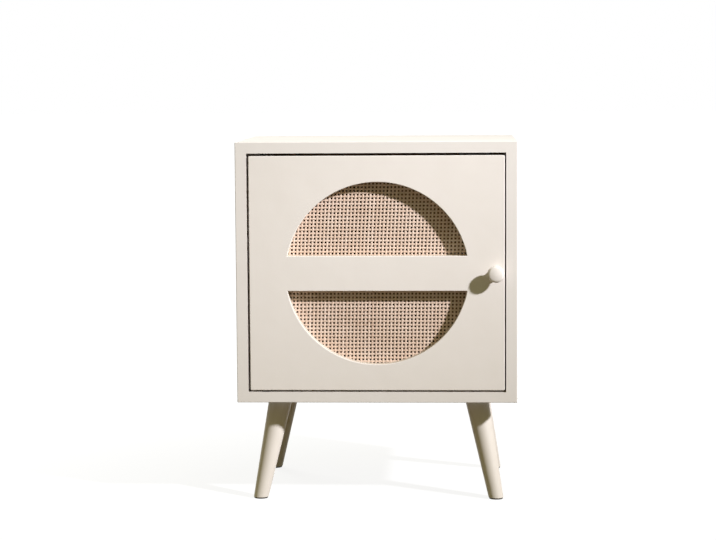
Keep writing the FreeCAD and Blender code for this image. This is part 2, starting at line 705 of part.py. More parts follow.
def make_leg_plate(name, side, end):
    """A steel plate under the bottom panel; its slanted collar stands in the panel's bore."""
    x, y = corner_point(side, end, "Size.leg_top_inset")
    half = "Size.plate_width / 2"
    flat = box((f"{x} - {half}", f"{y} - {half}", PLATE_UNDERSIDE),
               (f"{x} + {half}", f"{y} + {half}", UNDERSIDE))
    plate = rounded(flat, ("-X", "+X", "-Y", "+Y"), "Size.plate_corner_radius")
    round_bar = tilted_cylinder(side, end, "Size.collar_radius", f"{LEG_TOP_REACH} - Size.collar_radius",
                                "Size.collar_radius + Size.plate_thickness + Size.collar_length")
    above = box((f"{x} - {half}", f"{y} - {half}", PLATE_UNDERSIDE),
                (f"{x} + {half}", f"{y} + {half}", FLOOR_TOP))
    tools = [tilted_cylinder(side, end, "Size.hanger_radius + Size.hole_play",
                             f"{LEG_TOP_REACH} - Size.collar_radius",
                             "2 * Size.collar_radius + Size.plate_thickness + Size.collar_length")]
    for screw_x, screw_y in plate_screw_points(side, end):
        start = (screw_x, screw_y, PLATE_UNDERSIDE)
        tools.append(hole("plate_screw", "Size.plate_thickness", start, "+Z"))
    node(name, cut(fuse([plate, common(round_bar, above)]), tools))


def make_leg_plate_screws():
    screws = []
    for name, side, end in corners():
        for x, y in plate_screw_points(side, end):
            length = "Size.plate_thickness + Size.plate_screw_length"
            screws.append(pan_screw("plate_screw", length, (x, y, PLATE_UNDERSIDE), "+Z"))
    node("leg_plate_screws", group(screws))


def make_hanger_bolts():
    bolts = []
    for name, side, end in corners():
        length = "Size.hanger_in_leg + Size.plate_thickness + Size.hanger_above_plate"
        start = f"{LEG_TOP_REACH} - Size.hanger_in_leg"
        bolts.append(tilted_cylinder(side, end, "Size.hanger_radius", start, length))
    node("hanger_bolts", group(bolts))


# Door.

def make_door_panel():
    """A board with two circle segments cut out and a crossbar between them."""
    owner = body("DoorBlank", "Size.cutout_shift", DOOR_FRONT, DOOR_MIDDLE)
    sketch = sketch_on(owner, "XZ_Plane", "DoorOutline")
    left, right = f"-({HINGE_EDGE} + Size.cutout_shift)", f"({LATCH_EDGE} - Size.cutout_shift)"
    low, high = f"-{DOOR_HALF_HEIGHT}", DOOR_HALF_HEIGHT
    add_outline(sketch, [(left, low), (right, low), (right, high), (left, high)])
    for upward in (1, -1):
        add_segment(sketch, CUTOUT_RADIUS, "Size.crossbar_height / 2", upward)
    board = pad(owner, sketch, "Board", "Size.board", reversed_way=True)
    corner = owner.newObject("PartDesign::Fillet", "Corners")
    numbers = box_edges(board.Shape, ("-X", "+X", "-Z", "+Z"))
    corner.Base = (board, [f"Edge{number}" for number in numbers])
    corner.setExpression("Radius", "Size.door_corner_radius")
    doc.recompute()
    arris = owner.newObject("PartDesign::Fillet", "Arrises")
    arris.Base = (corner, front_edges(corner.Shape))
    arris.setExpression("Radius", "Size.edge_radius")
    doc.recompute()
    node("door_panel", cut(owner, door_drillings()))


def front_edges(shape):
    """Names of the edges on the shape's front face."""
    front = shape.BoundBox.YMin
    return [f"Edge{number}" for number, edge in enumerate(shape.Edges, start=1)
            if abs(edge.BoundBox.YMax - front) < TOUCH]


def door_drillings():
    tools = []
    for level, edge, inward in (("bottom", DOOR_BOTTOM, "+Z"), ("top", DOOR_TOP, "-Z")):
        tools.append(hole("bush", "Size.bush_length", (HINGE_X, HINGE_Y, edge), inward))
    tools.append(hole("knob_screw", "Size.board", (KNOB_X, DOOR_FRONT, DOOR_MIDDLE), "+Y"))
    for x, z in retainer_screw_points():
        tools.append(hole("retainer_screw", "Size.retainer_screw_length", (x, DOOR_REAR, z), "-Y"))
    tools.append(hole("small_screw", "Size.small_screw_length", (CATCH_X, DOOR_REAR, CATCH_Z), "-Y"))
    return tools


def make_cane_webbing():
    """The sheet that the cane is woven as, clamped outside the cut-out circle."""
    owner = body("cane_webbing", "Size.cutout_shift", DOOR_REAR, DOOR_MIDDLE)
    sketch = sketch_on(owner, "XZ_Plane", "WebbingOutline")
    add_circle(sketch, WEBBING_RADIUS)
    pad(owner, sketch, "Sheet", "Size.webbing_thickness", reversed_way=True)
    node("cane_webbing", owner)


def make_webbing_retainer():
    """A ring with a crossbar, rebated for the webbing on the side that meets the door."""
    owner = body("RetainerBlank", "Size.cutout_shift", DOOR_REAR, DOOR_MIDDLE)
    sketch = sketch_on(owner, "XZ_Plane", "RetainerOutline")
    add_circle(sketch, RETAINER_OUTER)
    for upward in (1, -1):
        add_segment(sketch, RETAINER_INNER, "Size.crossbar_height / 2 - Size.retainer_setback", upward)
    ring = pad(owner, sketch, "Ring", "Size.retainer_thickness", reversed_way=True)
    rebate_sketch = sketch_on(owner, "XZ_Plane", "RebateOutline")
    add_circle(rebate_sketch, f"{WEBBING_RADIUS} + Size.webbing_play")
    rebate = owner.newObject("PartDesign::Pocket", "Rebate")
    rebate.Profile = rebate_sketch
    rebate.setExpression("Length", REBATE_DEPTH)
    doc.recompute()
    if rebate.Shape.Volume > ring.Shape.Volume - 1:
        rebate.Reversed = True
        doc.recompute()
    tools = []
    for x, z in retainer_screw_points():
        tools.append(hole("retainer_screw", "Size.retainer_thickness", (x, DOOR_REAR, z), "+Y"))
    node("webbing_retainer", cut(owner, tools))


def make_retainer_screws():
    screws = []
    for x, z in retainer_screw_points():
        length = "Size.retainer_thickness + Size.retainer_screw_length"
        screws.append(pan_screw("retainer_screw", length, (x, RETAINER_REAR, z), "-Y"))
    node("retainer_screws", group(screws))


def make_door_knob():
    """A turned knob: flared base, hollow neck and a flatly domed head."""
    owner = body("KnobBlank", KNOB_X, DOOR_FRONT, DOOR_MIDDLE)
    sketch = sketch_on(owner, "XY_Plane", "KnobProfile")
    rim_centre = "(Size.knob_head_radius - Size.knob_rim_radius)"
    neck_rise = "(Size.knob_head_height - Size.knob_rim_radius)"
    crown_radius = f"({rim_centre} + Size.knob_rim_radius * cos(Size.knob_rim_angle))"
    crown_height = "(Size.knob_head_height + Size.knob_rim_radius * sin(Size.knob_rim_angle))"
    crown_rise = f"(Size.knob_length - {crown_height})"
    dome = f"(({crown_radius}^2 + {crown_rise}^2) / (2 * {crown_rise}))"
    corners_of_profile = [
        ("0", "0"),
        ("Size.knob_base_radius", "0"),
        ("Size.knob_base_radius", "-Size.knob_base_lip"),
        (rim_centre, f"-{neck_rise}"),
        (crown_radius, f"-{crown_height}"),
        ("0", "-Size.knob_length"),
    ]
    rounds = {2: ("Size.knob_neck_curve", -1), 3: ("Size.knob_rim_radius", 1), 4: (dome, 1)}
    add_outline(sketch, corners_of_profile, rounds)
    turn = owner.newObject("PartDesign::Revolution", "Turned")
    turn.Profile = sketch
    turn.ReferenceAxis = (sketch, ["V_Axis"])
    turn.Angle = 360
    doc.recompute()
    bore = hole("knob_screw", "Size.knob_screw_reach", (KNOB_X, DOOR_FRONT, DOOR_MIDDLE), "-Y")
    node("door_knob", cut(owner, [bore]))


def make_knob_fixing():
    face = f"({DOOR_REAR} + Size.knob_washer_thickness)"
    washer = cylinder("Size.knob_washer_radius", "Size.knob_washer_thickness",
                      (KNOB_X, DOOR_REAR, DOOR_MIDDLE), "+Y")
    bore = hole("knob_screw", "Size.knob_washer_thickness", (KNOB_X, DOOR_REAR, DOOR_MIDDLE), "+Y")
    node("knob_washer", cut(washer, [bore]))
    length = "Size.knob_washer_thickness + Size.board + Size.knob_screw_reach"
    node("knob_screw", pan_screw("knob_screw", length, (KNOB_X, face, DOOR_MIDDLE), "-Y"))


# Pivot hinges.

def make_hinge_pins():
    pins = []
    for face, gap, inward in ((FLOOR_TOP, "Size.door_gap_bottom", "+Z"),
                              (CEILING, "Size.door_gap_top", "-Z")):
        start = beyond(face, inward, "-Size.hinge_pin_in_panel")
        length = f"Size.hinge_pin_in_panel + {gap} + Size.hinge_pin_in_door"
        pins.append(cylinder("Size.hinge_pin_radius", length, (HINGE_X, HINGE_Y, start), inward))
    node("hinge_pins", group(pins))


def make_hinge_bushes():
    bushes = []
    for edge, inward in ((DOOR_BOTTOM, "+Z"), (DOOR_TOP, "-Z")):
        at = (HINGE_X, HINGE_Y, edge)
        sleeve = cylinder("Size.bush_radius", "Size.bush_length", at, inward)
        flange = cylinder("Size.bush_flange_radius", "Size.bush_flange", at, flipped(inward))
        bore_start = (HINGE_X, HINGE_Y, beyond(edge, flipped(inward), "Size.bush_flange"))
        bore = hole("hinge_pin", "Size.bush_flange + Size.bush_length", bore_start, inward)
        bushes.append(cut(fuse([sleeve, flange]), [bore]))
    node("hinge_bushes", group(bushes))


def make_hinge_washer():
    """The washer that fills the gap under the lower bush and carries the door."""
    thickness = "Size.door_gap_bottom - Size.bush_flange"
    at = (HINGE_X, HINGE_Y, FLOOR_TOP)
    disc = cylinder("Size.bush_flange_radius", thickness, at, "+Z")
    bore = hole("hinge_pin", thickness, at, "+Z")
    node("hinge_washer", cut(disc, [bore]))


# Magnetic catch.

def make_catch_housing():
    half = "Size.catch_width / 2"
    shell = box((f"{CATCH_X} - {half}", CATCH_FRONT, f"{CEILING} - Size.catch_height"),
                (f"{CATCH_X} + {half}", f"{CATCH_FRONT} + Size.catch_depth", CEILING))
    reach = f"({half} + Size.catch_ear)"
    ears = box((f"{CATCH_X} - {reach}", CATCH_FRONT, f"{CEILING} - Size.catch_ear_thickness"),
               (f"{CATCH_X} + {reach}", f"{CATCH_FRONT} + Size.catch_ear_depth", CEILING))
    width = "(Size.magnet_width / 2 + Size.catch_play)"
    height = "(Size.magnet_height / 2 + Size.pole_thickness + Size.catch_play)"
    pocket = box((f"{CATCH_X} - {width}", CATCH_FRONT, f"{CATCH_Z} - {height}"),
                 (f"{CATCH_X} + {width}", CATCH_REAR, f"{CATCH_Z} + {height}"))
    tools = [pocket]
    for x, y in catch_screw_places():
        start = (x, y, f"{CEILING} - Size.catch_ear_thickness")
        tools.append(hole("small_screw", "Size.catch_ear_thickness", start, "+Z"))
    node("catch_housing", cut(fuse([shell, ears]), tools))


def make_catch_magnet():
    half = "Size.magnet_width / 2"
    half_height = "Size.magnet_height / 2"
    low = (f"{CATCH_X} - {half}", f"{CATCH_REAR} - Size.magnet_depth", f"{CATCH_Z} - {half_height}")
    high = (f"{CATCH_X} + {half}", CATCH_REAR, f"{CATCH_Z} + {half_height}")
    node("catch_magnet", box(low, high))


def make_catch_poles():
    half = "Size.magnet_width / 2"
    poles = []
    for way in (-1, 1):
        middle = f"({CATCH_Z} + {way} * (Size.magnet_height + Size.pole_thickness) / 2)"
        poles.append(box((f"{CATCH_X} - {half}", POLE_FRONT, f"{middle} - Size.pole_thickness / 2"),
                         (f"{CATCH_X} + {half}", CATCH_REAR, f"{middle} + Size.pole_thickness / 2")))
    node("catch_poles", group(poles))


def make_catch_screws():
    screws = []
    for x, y in catch_screw_places():
        start = (x, y, f"{CEILING} - Size.catch_ear_thickness")
        length = "Size.catch_ear_thickness + Size.small_screw_length"
        screws.append(pan_screw("small_screw", length, start, "+Z"))
    node("catch_screws", group(screws))


def make_strike():
    """The steel plate that the magnet holds, and its flush screw."""
    half = "Size.strike_width / 2"
    plate = box((f"{CATCH_X} - {half}", DOOR_REAR, f"{CATCH_Z} - Size.strike_height / 2"),
                (f"{CATCH_X} + {half}", STRIKE_REAR, f"{CATCH_Z} + Size.strike_height / 2"))
    at = (CATCH_X, DOOR_REAR, CATCH_Z)
    seat = hole("small_screw_head", "Size.strike_thickness", at, "+Y")
    node("strike_plate", cut(plate, [seat]))
    head = cylinder("Size.small_screw_head_radius", "Size.strike_thickness", at, "+Y")
    shank = cylinder("Size.small_screw_radius", "Size.small_screw_length", at, "-Y")
    node("strike_screw", fuse([head, shank]))


def check_and_write():
    """Refuse a failed object, then write one STEP file for each sub-part."""
    doc.recompute()
    for item in doc.Objects:
        if "Invalid" in item.State or "Error" in item.State:
            raise RuntimeError(f"{item.Name} ({item.Label}) failed: {item.State}")
    for name, item in nodes.items():
        if item.Shape.isNull() or not item.Shape.isValid():
            raise RuntimeError(f"{name} has no valid shape")
    os.makedirs("parts", exist_ok=True)
    for name, item in nodes.items():
        item.Shape.exportStep(f"parts/{name}.step")
        print(f"{name}: {len(item.Shape.Solids)} solids, {item.Shape.Volume:.0f} mm3")


fill_sheet()
make_top_panel()
make_bottom_panel()
make_side_panel("side_panel_left", SIDES["left"])
make_side_panel("side_panel_right", SIDES["right"])
make_back_panel()
make_shelf()
make_shelf_pins()
make_cam_locks()
make_cam_bolts()
make_dowels()
for corner_name, corner_side, corner_end in corners():
    make_leg(f"leg_{corner_name}", corner_side, corner_end)
    make_leg_plate(f"leg_plate_{corner_name}", corner_side, corner_end)
make_leg_plate_screws()
make_hanger_bolts()
make_glide_pads()
make_door_panel()
make_cane_webbing()
make_webbing_retainer()
make_retainer_screws()
make_door_knob()
make_knob_fixing()
make_hinge_pins()
make_hinge_bushes()
make_hinge_washer()
make_catch_housing()
make_catch_magnet()
make_catch_poles()
make_catch_screws()
make_strike()
check_and_write()
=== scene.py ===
"""Dresses the storage side table: cream lacquer, woven cane, turned legs and small steel fittings.

Metres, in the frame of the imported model: +X is to the right, the front faces -Y and +Z is up.
"""
import math
from collections import namedtuple

import bmesh
import bpy
from mathutils import Matrix, Vector


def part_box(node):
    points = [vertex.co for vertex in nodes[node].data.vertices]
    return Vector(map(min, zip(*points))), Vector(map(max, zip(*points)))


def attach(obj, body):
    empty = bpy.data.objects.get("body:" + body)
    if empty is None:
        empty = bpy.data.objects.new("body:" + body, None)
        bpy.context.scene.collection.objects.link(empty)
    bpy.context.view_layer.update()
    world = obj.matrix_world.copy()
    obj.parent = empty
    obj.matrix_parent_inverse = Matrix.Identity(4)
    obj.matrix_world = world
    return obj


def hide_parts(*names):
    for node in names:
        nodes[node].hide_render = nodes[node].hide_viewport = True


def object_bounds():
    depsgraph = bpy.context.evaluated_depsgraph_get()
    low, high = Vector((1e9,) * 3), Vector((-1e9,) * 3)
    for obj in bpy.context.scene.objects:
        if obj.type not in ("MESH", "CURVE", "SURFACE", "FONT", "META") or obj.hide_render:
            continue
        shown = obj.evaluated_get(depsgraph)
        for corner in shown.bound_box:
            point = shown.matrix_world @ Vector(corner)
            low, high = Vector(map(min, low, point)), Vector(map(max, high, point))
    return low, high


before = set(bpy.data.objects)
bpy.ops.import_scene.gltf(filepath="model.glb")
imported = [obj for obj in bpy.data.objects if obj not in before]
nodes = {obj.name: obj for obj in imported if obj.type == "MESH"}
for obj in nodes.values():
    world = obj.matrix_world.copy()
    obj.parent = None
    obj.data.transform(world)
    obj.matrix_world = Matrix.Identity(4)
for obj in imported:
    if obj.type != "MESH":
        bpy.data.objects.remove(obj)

cad_low, cad_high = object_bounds()
MM = 0.001

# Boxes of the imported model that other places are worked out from.
CARCASS_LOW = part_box("bottom_panel")[0]
CARCASS_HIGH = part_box("top_panel")[1]
DOOR_LOW, DOOR_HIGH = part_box("door_panel")
WEBBING_LOW, WEBBING_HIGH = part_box("cane_webbing")

# The door's cut-out circle, a little right of the table's middle, the eased edge of its walls, and the fades
# of the painted shade on those walls.
CIRCLE_SHIFT = 1.0 * MM
CIRCLE_RADIUS = 130.0 * MM
CIRCLE_MIDDLE = Vector((CIRCLE_SHIFT, (WEBBING_LOW.y + WEBBING_HIGH.y) / 2, (DOOR_LOW.z + DOOR_HIGH.z) / 2))
CUT_OUT_EASING = 0.5 * MM
CUT_OUT_FADE = 0.6 * MM
CUT_OUT_SIDE_FADE = 0.3 * MM

# Cane webbing: upright strands lean and bow a little to the right, the others run level.
CANE_RADIUS = 137.2 * MM
UPRIGHT_PITCH = 5.29 * MM
LEVEL_PITCH = 5.25 * MM
UPRIGHT_LEAN = 0.041
UPRIGHT_BOW = 0.115
UPRIGHT_SHIFT = 0.6 * MM
LEVEL_SHIFT = 1.06 * MM
STRAND_WIDTH = 2.74 * MM
STRAND_THICKNESS = 0.36 * MM
STRAND_WAVE = 0.19 * MM
STRAND_UNEVENNESS = 0.12 * MM
STRAND_WANDER_ALONG = 14.0
STRAND_WANDER_ACROSS = 90.0
STRAND_SECTION_POINTS = 8
STEPS_PER_CROSSING = 4
STRAND_SLIMMEST = 0.95
STRAND_WIDTH_SPREAD = 0.10

# Legs, by the axis of the front right one; the others mirror it. Their length and their radii are
# taken from the floor to the plates.
LEG_FOOT = Vector((170.5 * MM, -110.5 * MM, 0.0))
LEG_HEAD = Vector((142.0 * MM, -82.0 * MM, CARCASS_LOW.z))
LEG_MIDDLE_DEPTH = (CARCASS_LOW.y + CARCASS_HIGH.y) / 2
LEG_FOOT_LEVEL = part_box("glide_pads")[1].z
LEG_HEAD_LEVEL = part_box("leg_plate_front_right")[0].z
LEG_LENGTH = (LEG_HEAD - LEG_FOOT).length * LEG_HEAD_LEVEL / LEG_HEAD.z
LEG_FOOT_RADIUS = 10.4 * MM
LEG_HEAD_RADIUS = 16.75 * MM
LEG_ARRIS = 0.6 * MM
LEG_ARRIS_STEPS = tuple(math.radians(arc) for arc in (0, 30, 60, 90))
LEG_RING_SHARES = (0.25, 0.5, 0.75)
LEG_SEGMENTS = 64

# A glide's rim: how far it lies inside the plain radius at each height.
GLIDE_RADIUS = 9.9 * MM
GLIDE_RIM = ((0.6 * MM, 0.0), (0.15 * MM, 0.25 * MM), (0.0, 0.7 * MM), (0.0, 1.5 * MM),
             (0.15 * MM, LEG_FOOT_LEVEL))
GLIDE_SEGMENTS = 48

# Screws. Lengths run from the underside of the head, or from the face of a sunk one.
Screw = namedtuple("Screw", "head_radius head_height shank_radius length sunk")
RETAINER_SCREW = Screw(2.8 * MM, 1.5 * MM, 1.5 * MM, 13.0 * MM, False)
KNOB_SCREW = Screw(4.0 * MM, 2.4 * MM, 2.0 * MM, 27.0 * MM, False)
STRIKE_SCREW = Screw(2.8 * MM, 1.6 * MM, 1.5 * MM, 10.0 * MM, True)
CATCH_SCREW = Screw(2.8 * MM, 1.6 * MM, 1.5 * MM, 12.0 * MM, False)
PLATE_SCREW = Screw(3.8 * MM, 2.2 * MM, 2.0 * MM, 14.5 * MM, False)
RETAINER_SCREW_COUNT = 12
RETAINER_SCREW_CIRCLE = 145.5 * MM
KNOB_EDGE_DISTANCE = 12.5 * MM
CATCH_EAR = Vector((9.0, 11.0, 3.0)) * MM
PLATE_HOLE_INSET = 7.0 * MM
SCREW_SEGMENTS = 20

# A screw's shape, in shares of its shank's radius.
TIP_RADIUS = 0.3
TIP_LENGTH = 1.0
THREAD_START = 1.4
THREAD_MARGIN = 3.0
THREAD_PITCH = 0.8
THREAD_ROOT = 0.72
THREAD_CREST = 0.97
NECK_RADIUS = 0.75

# A screw head's shape, in shares of its radius and height, and its cross, whose sole is in
# shares of the mouth.
SUNK_RIM = 0.98
SUNK_RIM_DEPTH = 0.1 * MM
SUNK_CROWN = 0.96
DOME_FOOT = 0.96
DOME_RIM_HEIGHT = 0.12
DOME_LEVELS = (0.35, 0.6, 0.8, 0.93)
DOME_FALL = 0.42
DOME_CROWN = 0.66
CROSS_ARM = 0.11
CROSS_REACH = 0.52
CROSS_DEPTH = 0.6
CROSS_SOLE_ARM = 0.7
CROSS_SOLE_REACH = 0.45

# Light and camera.
LAMP_FROM = Vector((1.49, -1.0, 0.995)).normalized()
LAMP_DISTANCE = 5.0
LAMP_SIZE = 0.30
LAMP_SPREAD = math.radians(26)
LAMP_POWER = 8.6
LAMP_COLOUR = (0.965, 0.972, 1.035)
LAMP_AIM = Vector((0.03, -0.14, 0.52))
REAR_LAMP_PLACE = Vector((-1.4, 2.2, 1.3))
REAR_LAMP_SIZE = 1.6
REAR_LAMP_POWER = 34.0
ROOM_FILL = 0.305
ROOM_FILL_COLOUR = (1.0, 0.96, 0.53, 1.0)
TABLE_MIDDLE = Vector((0.0, 0.0, 0.33))
CAMERA_PLACE = Vector((0.12313, -3.11948, 0.61084))
CAMERA_YAW = math.radians(2.86395)
CAMERA_PITCH = math.radians(5.29791)
CAMERA_ROLL = math.radians(-0.35785)
CAMERA_LENS = 106.10
CAMERA_SENSOR = 36.0
CAMERA_RANGE = 100.0
FLOOR_REACH = 30.0
FLOOR_SQUARES = 8
FLOOR_DROP = 0.05 * MM

SMOOTH_UP_TO = math.radians(40)


# Node trees.

class Signal:
    """An output socket. A sum of signals and numbers adds its Math nodes."""

    def __init__(self, graph, socket):
        self.graph = graph
        self.socket = socket

    def math(self, operation, *others):
        return self.graph.add("ShaderNodeMath", {"operation": operation}, dict(enumerate((self, *others))))

    def __add__(self, other):
        return self.math("ADD", other)

    def __sub__(self, other):
        return self.math("SUBTRACT", other)

    def __mul__(self, other):
        return self.math("MULTIPLY", other)

    def __truediv__(self, other):
        return self.math("DIVIDE", other)

    def __abs__(self):
        return self.math("ABSOLUTE")

    __radd__ = __add__

    def least(self, other):
        return self.math("MINIMUM", other)

    def most(self, other):
        return self.math("MAXIMUM", other)

    def clamped(self):
        return self.most(0.0).least(1.0)

    def root(self):
        return self.math("SQRT")

    def cosine(self):
        return self.math("COSINE")

    def rounded(self):
        return self.math("ROUND")


class Graph:
    """A node tree, written node by node."""

    def __init__(self, tree):
        self.tree = tree
        tree.nodes.clear()

    def add(self, kind, settings=None, sockets=None, result=0):
        """A new node: its settings first, then the values or links of its sockets."""
        node = self.tree.nodes.new(kind)
        for name, value in (settings or {}).items():
            if name == "stops":
                place_stops(node.color_ramp, value)
            else:
                setattr(node, name, value)
        for key, value in (sockets or {}).items():
            if isinstance(value, Signal):
                self.tree.links.new(value.socket, node.inputs[key])
            else:
                node.inputs[key].default_value = value
        return Signal(self, node.outputs[result]) if node.outputs else None

    def place(self):
        return self.add("ShaderNodeTexCoord", result="Object")

    def axes(self, vector):
        node = self.add("ShaderNodeSeparateXYZ", sockets={0: vector}).socket.node
        return [Signal(self, socket) for socket in node.outputs]

    def vector(self, x, y, z):
        return self.add("ShaderNodeCombineXYZ", sockets={0: x, 1: y, 2: z})

    def stretched(self, place, scale, shift=(0.0, 0.0, 0.0)):
        return self.add("ShaderNodeMapping", sockets={"Vector": place, "Scale": scale, "Location": shift})

    def noise(self, place, scale, detail=2.0, roughness=0.5):
        sockets = {"Vector": place, "Scale": scale, "Detail": detail, "Roughness": roughness}
        return self.add("ShaderNodeTexNoise", sockets=sockets)

    def attribute(self, name):
        return self.add("ShaderNodeAttribute", {"attribute_name": name}, result="Fac")

    def mix(self, share, first, second):
        return self.add("ShaderNodeMix", {"data_type": "RGBA"}, {0: share, 6: first, 7: second}, result=2)

    def ramp(self, share, stops):
        return self.add("ShaderNodeValToRGB", {"stops": stops}, {0: share})

    def bump(self, height, distance, below=None):
        sockets = {"Height": height, "Distance": distance, "Strength": 1.0}
        if below is not None:
            sockets["Normal"] = below
        return self.add("ShaderNodeBump", sockets=sockets)


def place_stops(ramp, stops):
    while len(ramp.elements) < len(stops):
        ramp.elements.new(0.5)
    for element, (position, shade) in zip(ramp.elements, stops):
        element.position = position
        element.color = shade


def colour(red, green, blue):
    """A colour in steps of 0 to 255, as the linear value that sockets take."""
    def linear(step):
        share = step / 255
        return share / 12.92 if share <= 0.04045 else ((share + 0.055) / 1.055) ** 2.4
    return (linear(red), linear(green), linear(blue), 1.0)


def finish(name, build, *details, **options):
    """A material whose surface is what build adds to its tree."""
    material = bpy.data.materials.new(name)
    material.use_nodes = True
    graph = Graph(material.node_tree)
    surface = build(graph, *details, **options)
    graph.add("ShaderNodeOutputMaterial", sockets={"Surface": surface})
    return material


# Finishes.

BOARD_CREAM = (colour(234, 227, 221), colour(230, 222, 214), colour(240, 235, 229))
CARCASS_CREAM = (colour(231, 225, 220), colour(227, 220, 213), colour(237, 233, 228))
LEG_CREAM = (colour(224, 216, 207), colour(217, 208, 196), colour(233, 226, 217))
LACQUER_SHEEN = 0.25
RUBBED_WIDTH = 2.2 * MM


def edge_nearness(graph, place, low, high, width):
    """1 on the edges of a box, falling to 0 at width from them."""
    gaps = []
    for axis, least, most in zip(graph.axes(place), low, high):
        middle = (least + most) / 2
        gaps.append(abs(axis - middle) - (most - least) / 2)
    first, second, third = gaps
    nearest_edge = first.least(second).most(first.most(second).least(third))
    return (nearest_edge / width + 1.0).clamped()


def cut_out_wall(graph, place):
    """1 on the routed walls of the door's cut-outs, behind their rounded front edge: where the lacquer gets
    its painted shade.
    """
    x, y, z = graph.axes(place)
    aside = x - CIRCLE_MIDDLE.x
    level = z - CIRCLE_MIDDLE.z
    reach = (aside * aside + level * level).root()
    inside = ((reach - CIRCLE_RADIUS - CUT_OUT_EASING) / -CUT_OUT_SIDE_FADE).clamped()
    return inside * ((y - DOOR_LOW.y - CUT_OUT_EASING) / CUT_OUT_FADE).clamped()


def cream_lacquer(graph, low, high, shades=BOARD_CREAM, turned=False, routed=False):
    """Sprayed lacquer: a slow drift of tone, fine orange peel and slightly rubbed edges. With routed, the
    cut-out walls get a darker painted shade.
    """
    cream, warm_cream, rubbed_cream = shades
    place = graph.place()
    drift = graph.noise(place, 4.0, 1.0)
    mottle = graph.noise(place, 60.0, 3.0)
    peel = graph.noise(place, 620.0, 2.0)
    wave = graph.noise(place, 26.0, 1.0)
    tone = graph.mix((drift * 0.8 + mottle * 0.5 - 0.2).clamped(), cream, warm_cream)
    rubbed = edge_nearness(graph, place, low, high, RUBBED_WIDTH) * (mottle * 1.6 - 0.3).clamped()
    tone = graph.mix(rubbed * 0.6, tone, rubbed_cream)
    if routed:
        # Painted shade: a darker cream on the cut-out walls, which holds down the lamp's light that falls on
        # them.
        painted_wall_shade = graph.mix(mottle, colour(214, 204, 190), colour(206, 195, 179))
        tone = graph.mix(cut_out_wall(graph, place), tone, painted_wall_shade)
    relief = graph.bump(wave, 0.35 * MM)
    relief = graph.bump(peel, 0.035 * MM, relief)
    if turned:
        along = graph.axes(place)[2]
        rings = graph.add("ShaderNodeTexNoise", {"noise_dimensions": "1D"},
                          {"W": along, "Scale": 900.0, "Detail": 1.0})
        relief = graph.bump(rings, 0.03 * MM, relief)
    return graph.add("ShaderNodeBsdfPrincipled", sockets={
        "Base Color": tone,
        "Roughness": 0.42 + peel * 0.10 - rubbed * 0.08,
        "Specular IOR Level": LACQUER_SHEEN,
        "Normal": relief,
    })


def cane(graph, along):
    """Split cane: straw strands, each of its own tone, with long fibres and a glossy rind."""
    place = graph.place()
    across = [1100.0, 1100.0, 1100.0]
    across[along] = 45.0
    fibre = graph.noise(graph.stretched(place, across), 1.0, 2.0)
    patch = graph.noise(place, 22.0, 2.0)
    strand = graph.attribute("strand_tone")
    straw = graph.ramp(strand * 0.35 + patch * 0.65, [
        (0.15, colour(211, 182, 161)),
        (0.50, colour(225, 199, 180)),
        (0.85, colour(234, 213, 198)),
    ])
    streaked = graph.mix((fibre * 1.8 - 0.9).clamped() * 0.5, straw, colour(190, 158, 132))
    knots = [30.0, 30.0, 30.0]
    knots[along] = 16.0
    knot = graph.noise(graph.stretched(place, knots, (0.3, 0.1, 0.7)), 1.0, 2.0)
    marked = graph.mix(((knot - 0.66) * 9.0).clamped() * 0.35, streaked, colour(172, 136, 106))
    return graph.add("ShaderNodeBsdfPrincipled", sockets={
        "Base Color": marked,
        "Roughness": 0.40 + fibre * 0.22,
        "Normal": graph.bump(fibre, 0.06 * MM),
    })


def zinc_steel(graph):
    """Bright zinc plate: a cloudy spangle and fine drawn scratches."""
    place = graph.place()
    cloud = graph.noise(place, 140.0, 3.0)
    scratch = graph.noise(graph.stretched(place, (300.0, 2600.0, 2600.0)), 1.0, 2.0)
    tone = graph.mix(cloud, colour(196, 199, 203), colour(170, 172, 172))
    return graph.add("ShaderNodeBsdfPrincipled", sockets={
        "Base Color": tone,
        "Metallic": 1.0,
        "Roughness": 0.24 + cloud * 0.16 + scratch * 0.06,
        "Normal": graph.bump(scratch, 0.012 * MM),
    })


def black_steel(graph):
    """Blackened pins, lightly oiled and polished where they turn."""
    place = graph.place()
    cloud = graph.noise(place, 160.0, 3.0)
    scratch = graph.noise(graph.stretched(place, (2400.0, 2400.0, 260.0)), 1.0, 2.0)
    return graph.add("ShaderNodeBsdfPrincipled", sockets={
        "Base Color": graph.mix(cloud, colour(66, 62, 58), colour(46, 44, 42)),
        "Metallic": 0.7,
        "Roughness": 0.34 + cloud * 0.18 + scratch * 0.06,
        "Normal": graph.bump(scratch, 0.012 * MM),
    })


def die_cast_zinc(graph):
    """Dull cast zinc with a grainy skin."""
    place = graph.place()
    grain = graph.noise(place, 1600.0, 2.0)
    cloud = graph.noise(place, 180.0, 2.0)
    return graph.add("ShaderNodeBsdfPrincipled", sockets={
        "Base Color": graph.mix(cloud, colour(172, 172, 174), colour(146, 147, 150)),
        "Metallic": 0.5,
        "Roughness": 0.42 + grain * 0.16,
        "Normal": graph.bump(grain, 0.03 * MM),
    })


def dark_plastic(graph):
    """Moulded dark brown acetal, slightly greasy from the pin."""
    place = graph.place()
    grain = graph.noise(place, 2000.0, 2.0)
    cloud = graph.noise(place, 110.0, 1.0)
    return graph.add("ShaderNodeBsdfPrincipled", sockets={
        "Base Color": graph.mix(cloud, colour(58, 50, 44), colour(46, 40, 36)),
        "Roughness": 0.42 + grain * 0.16,
        "Normal": graph.bump(grain, 0.02 * MM),
    })


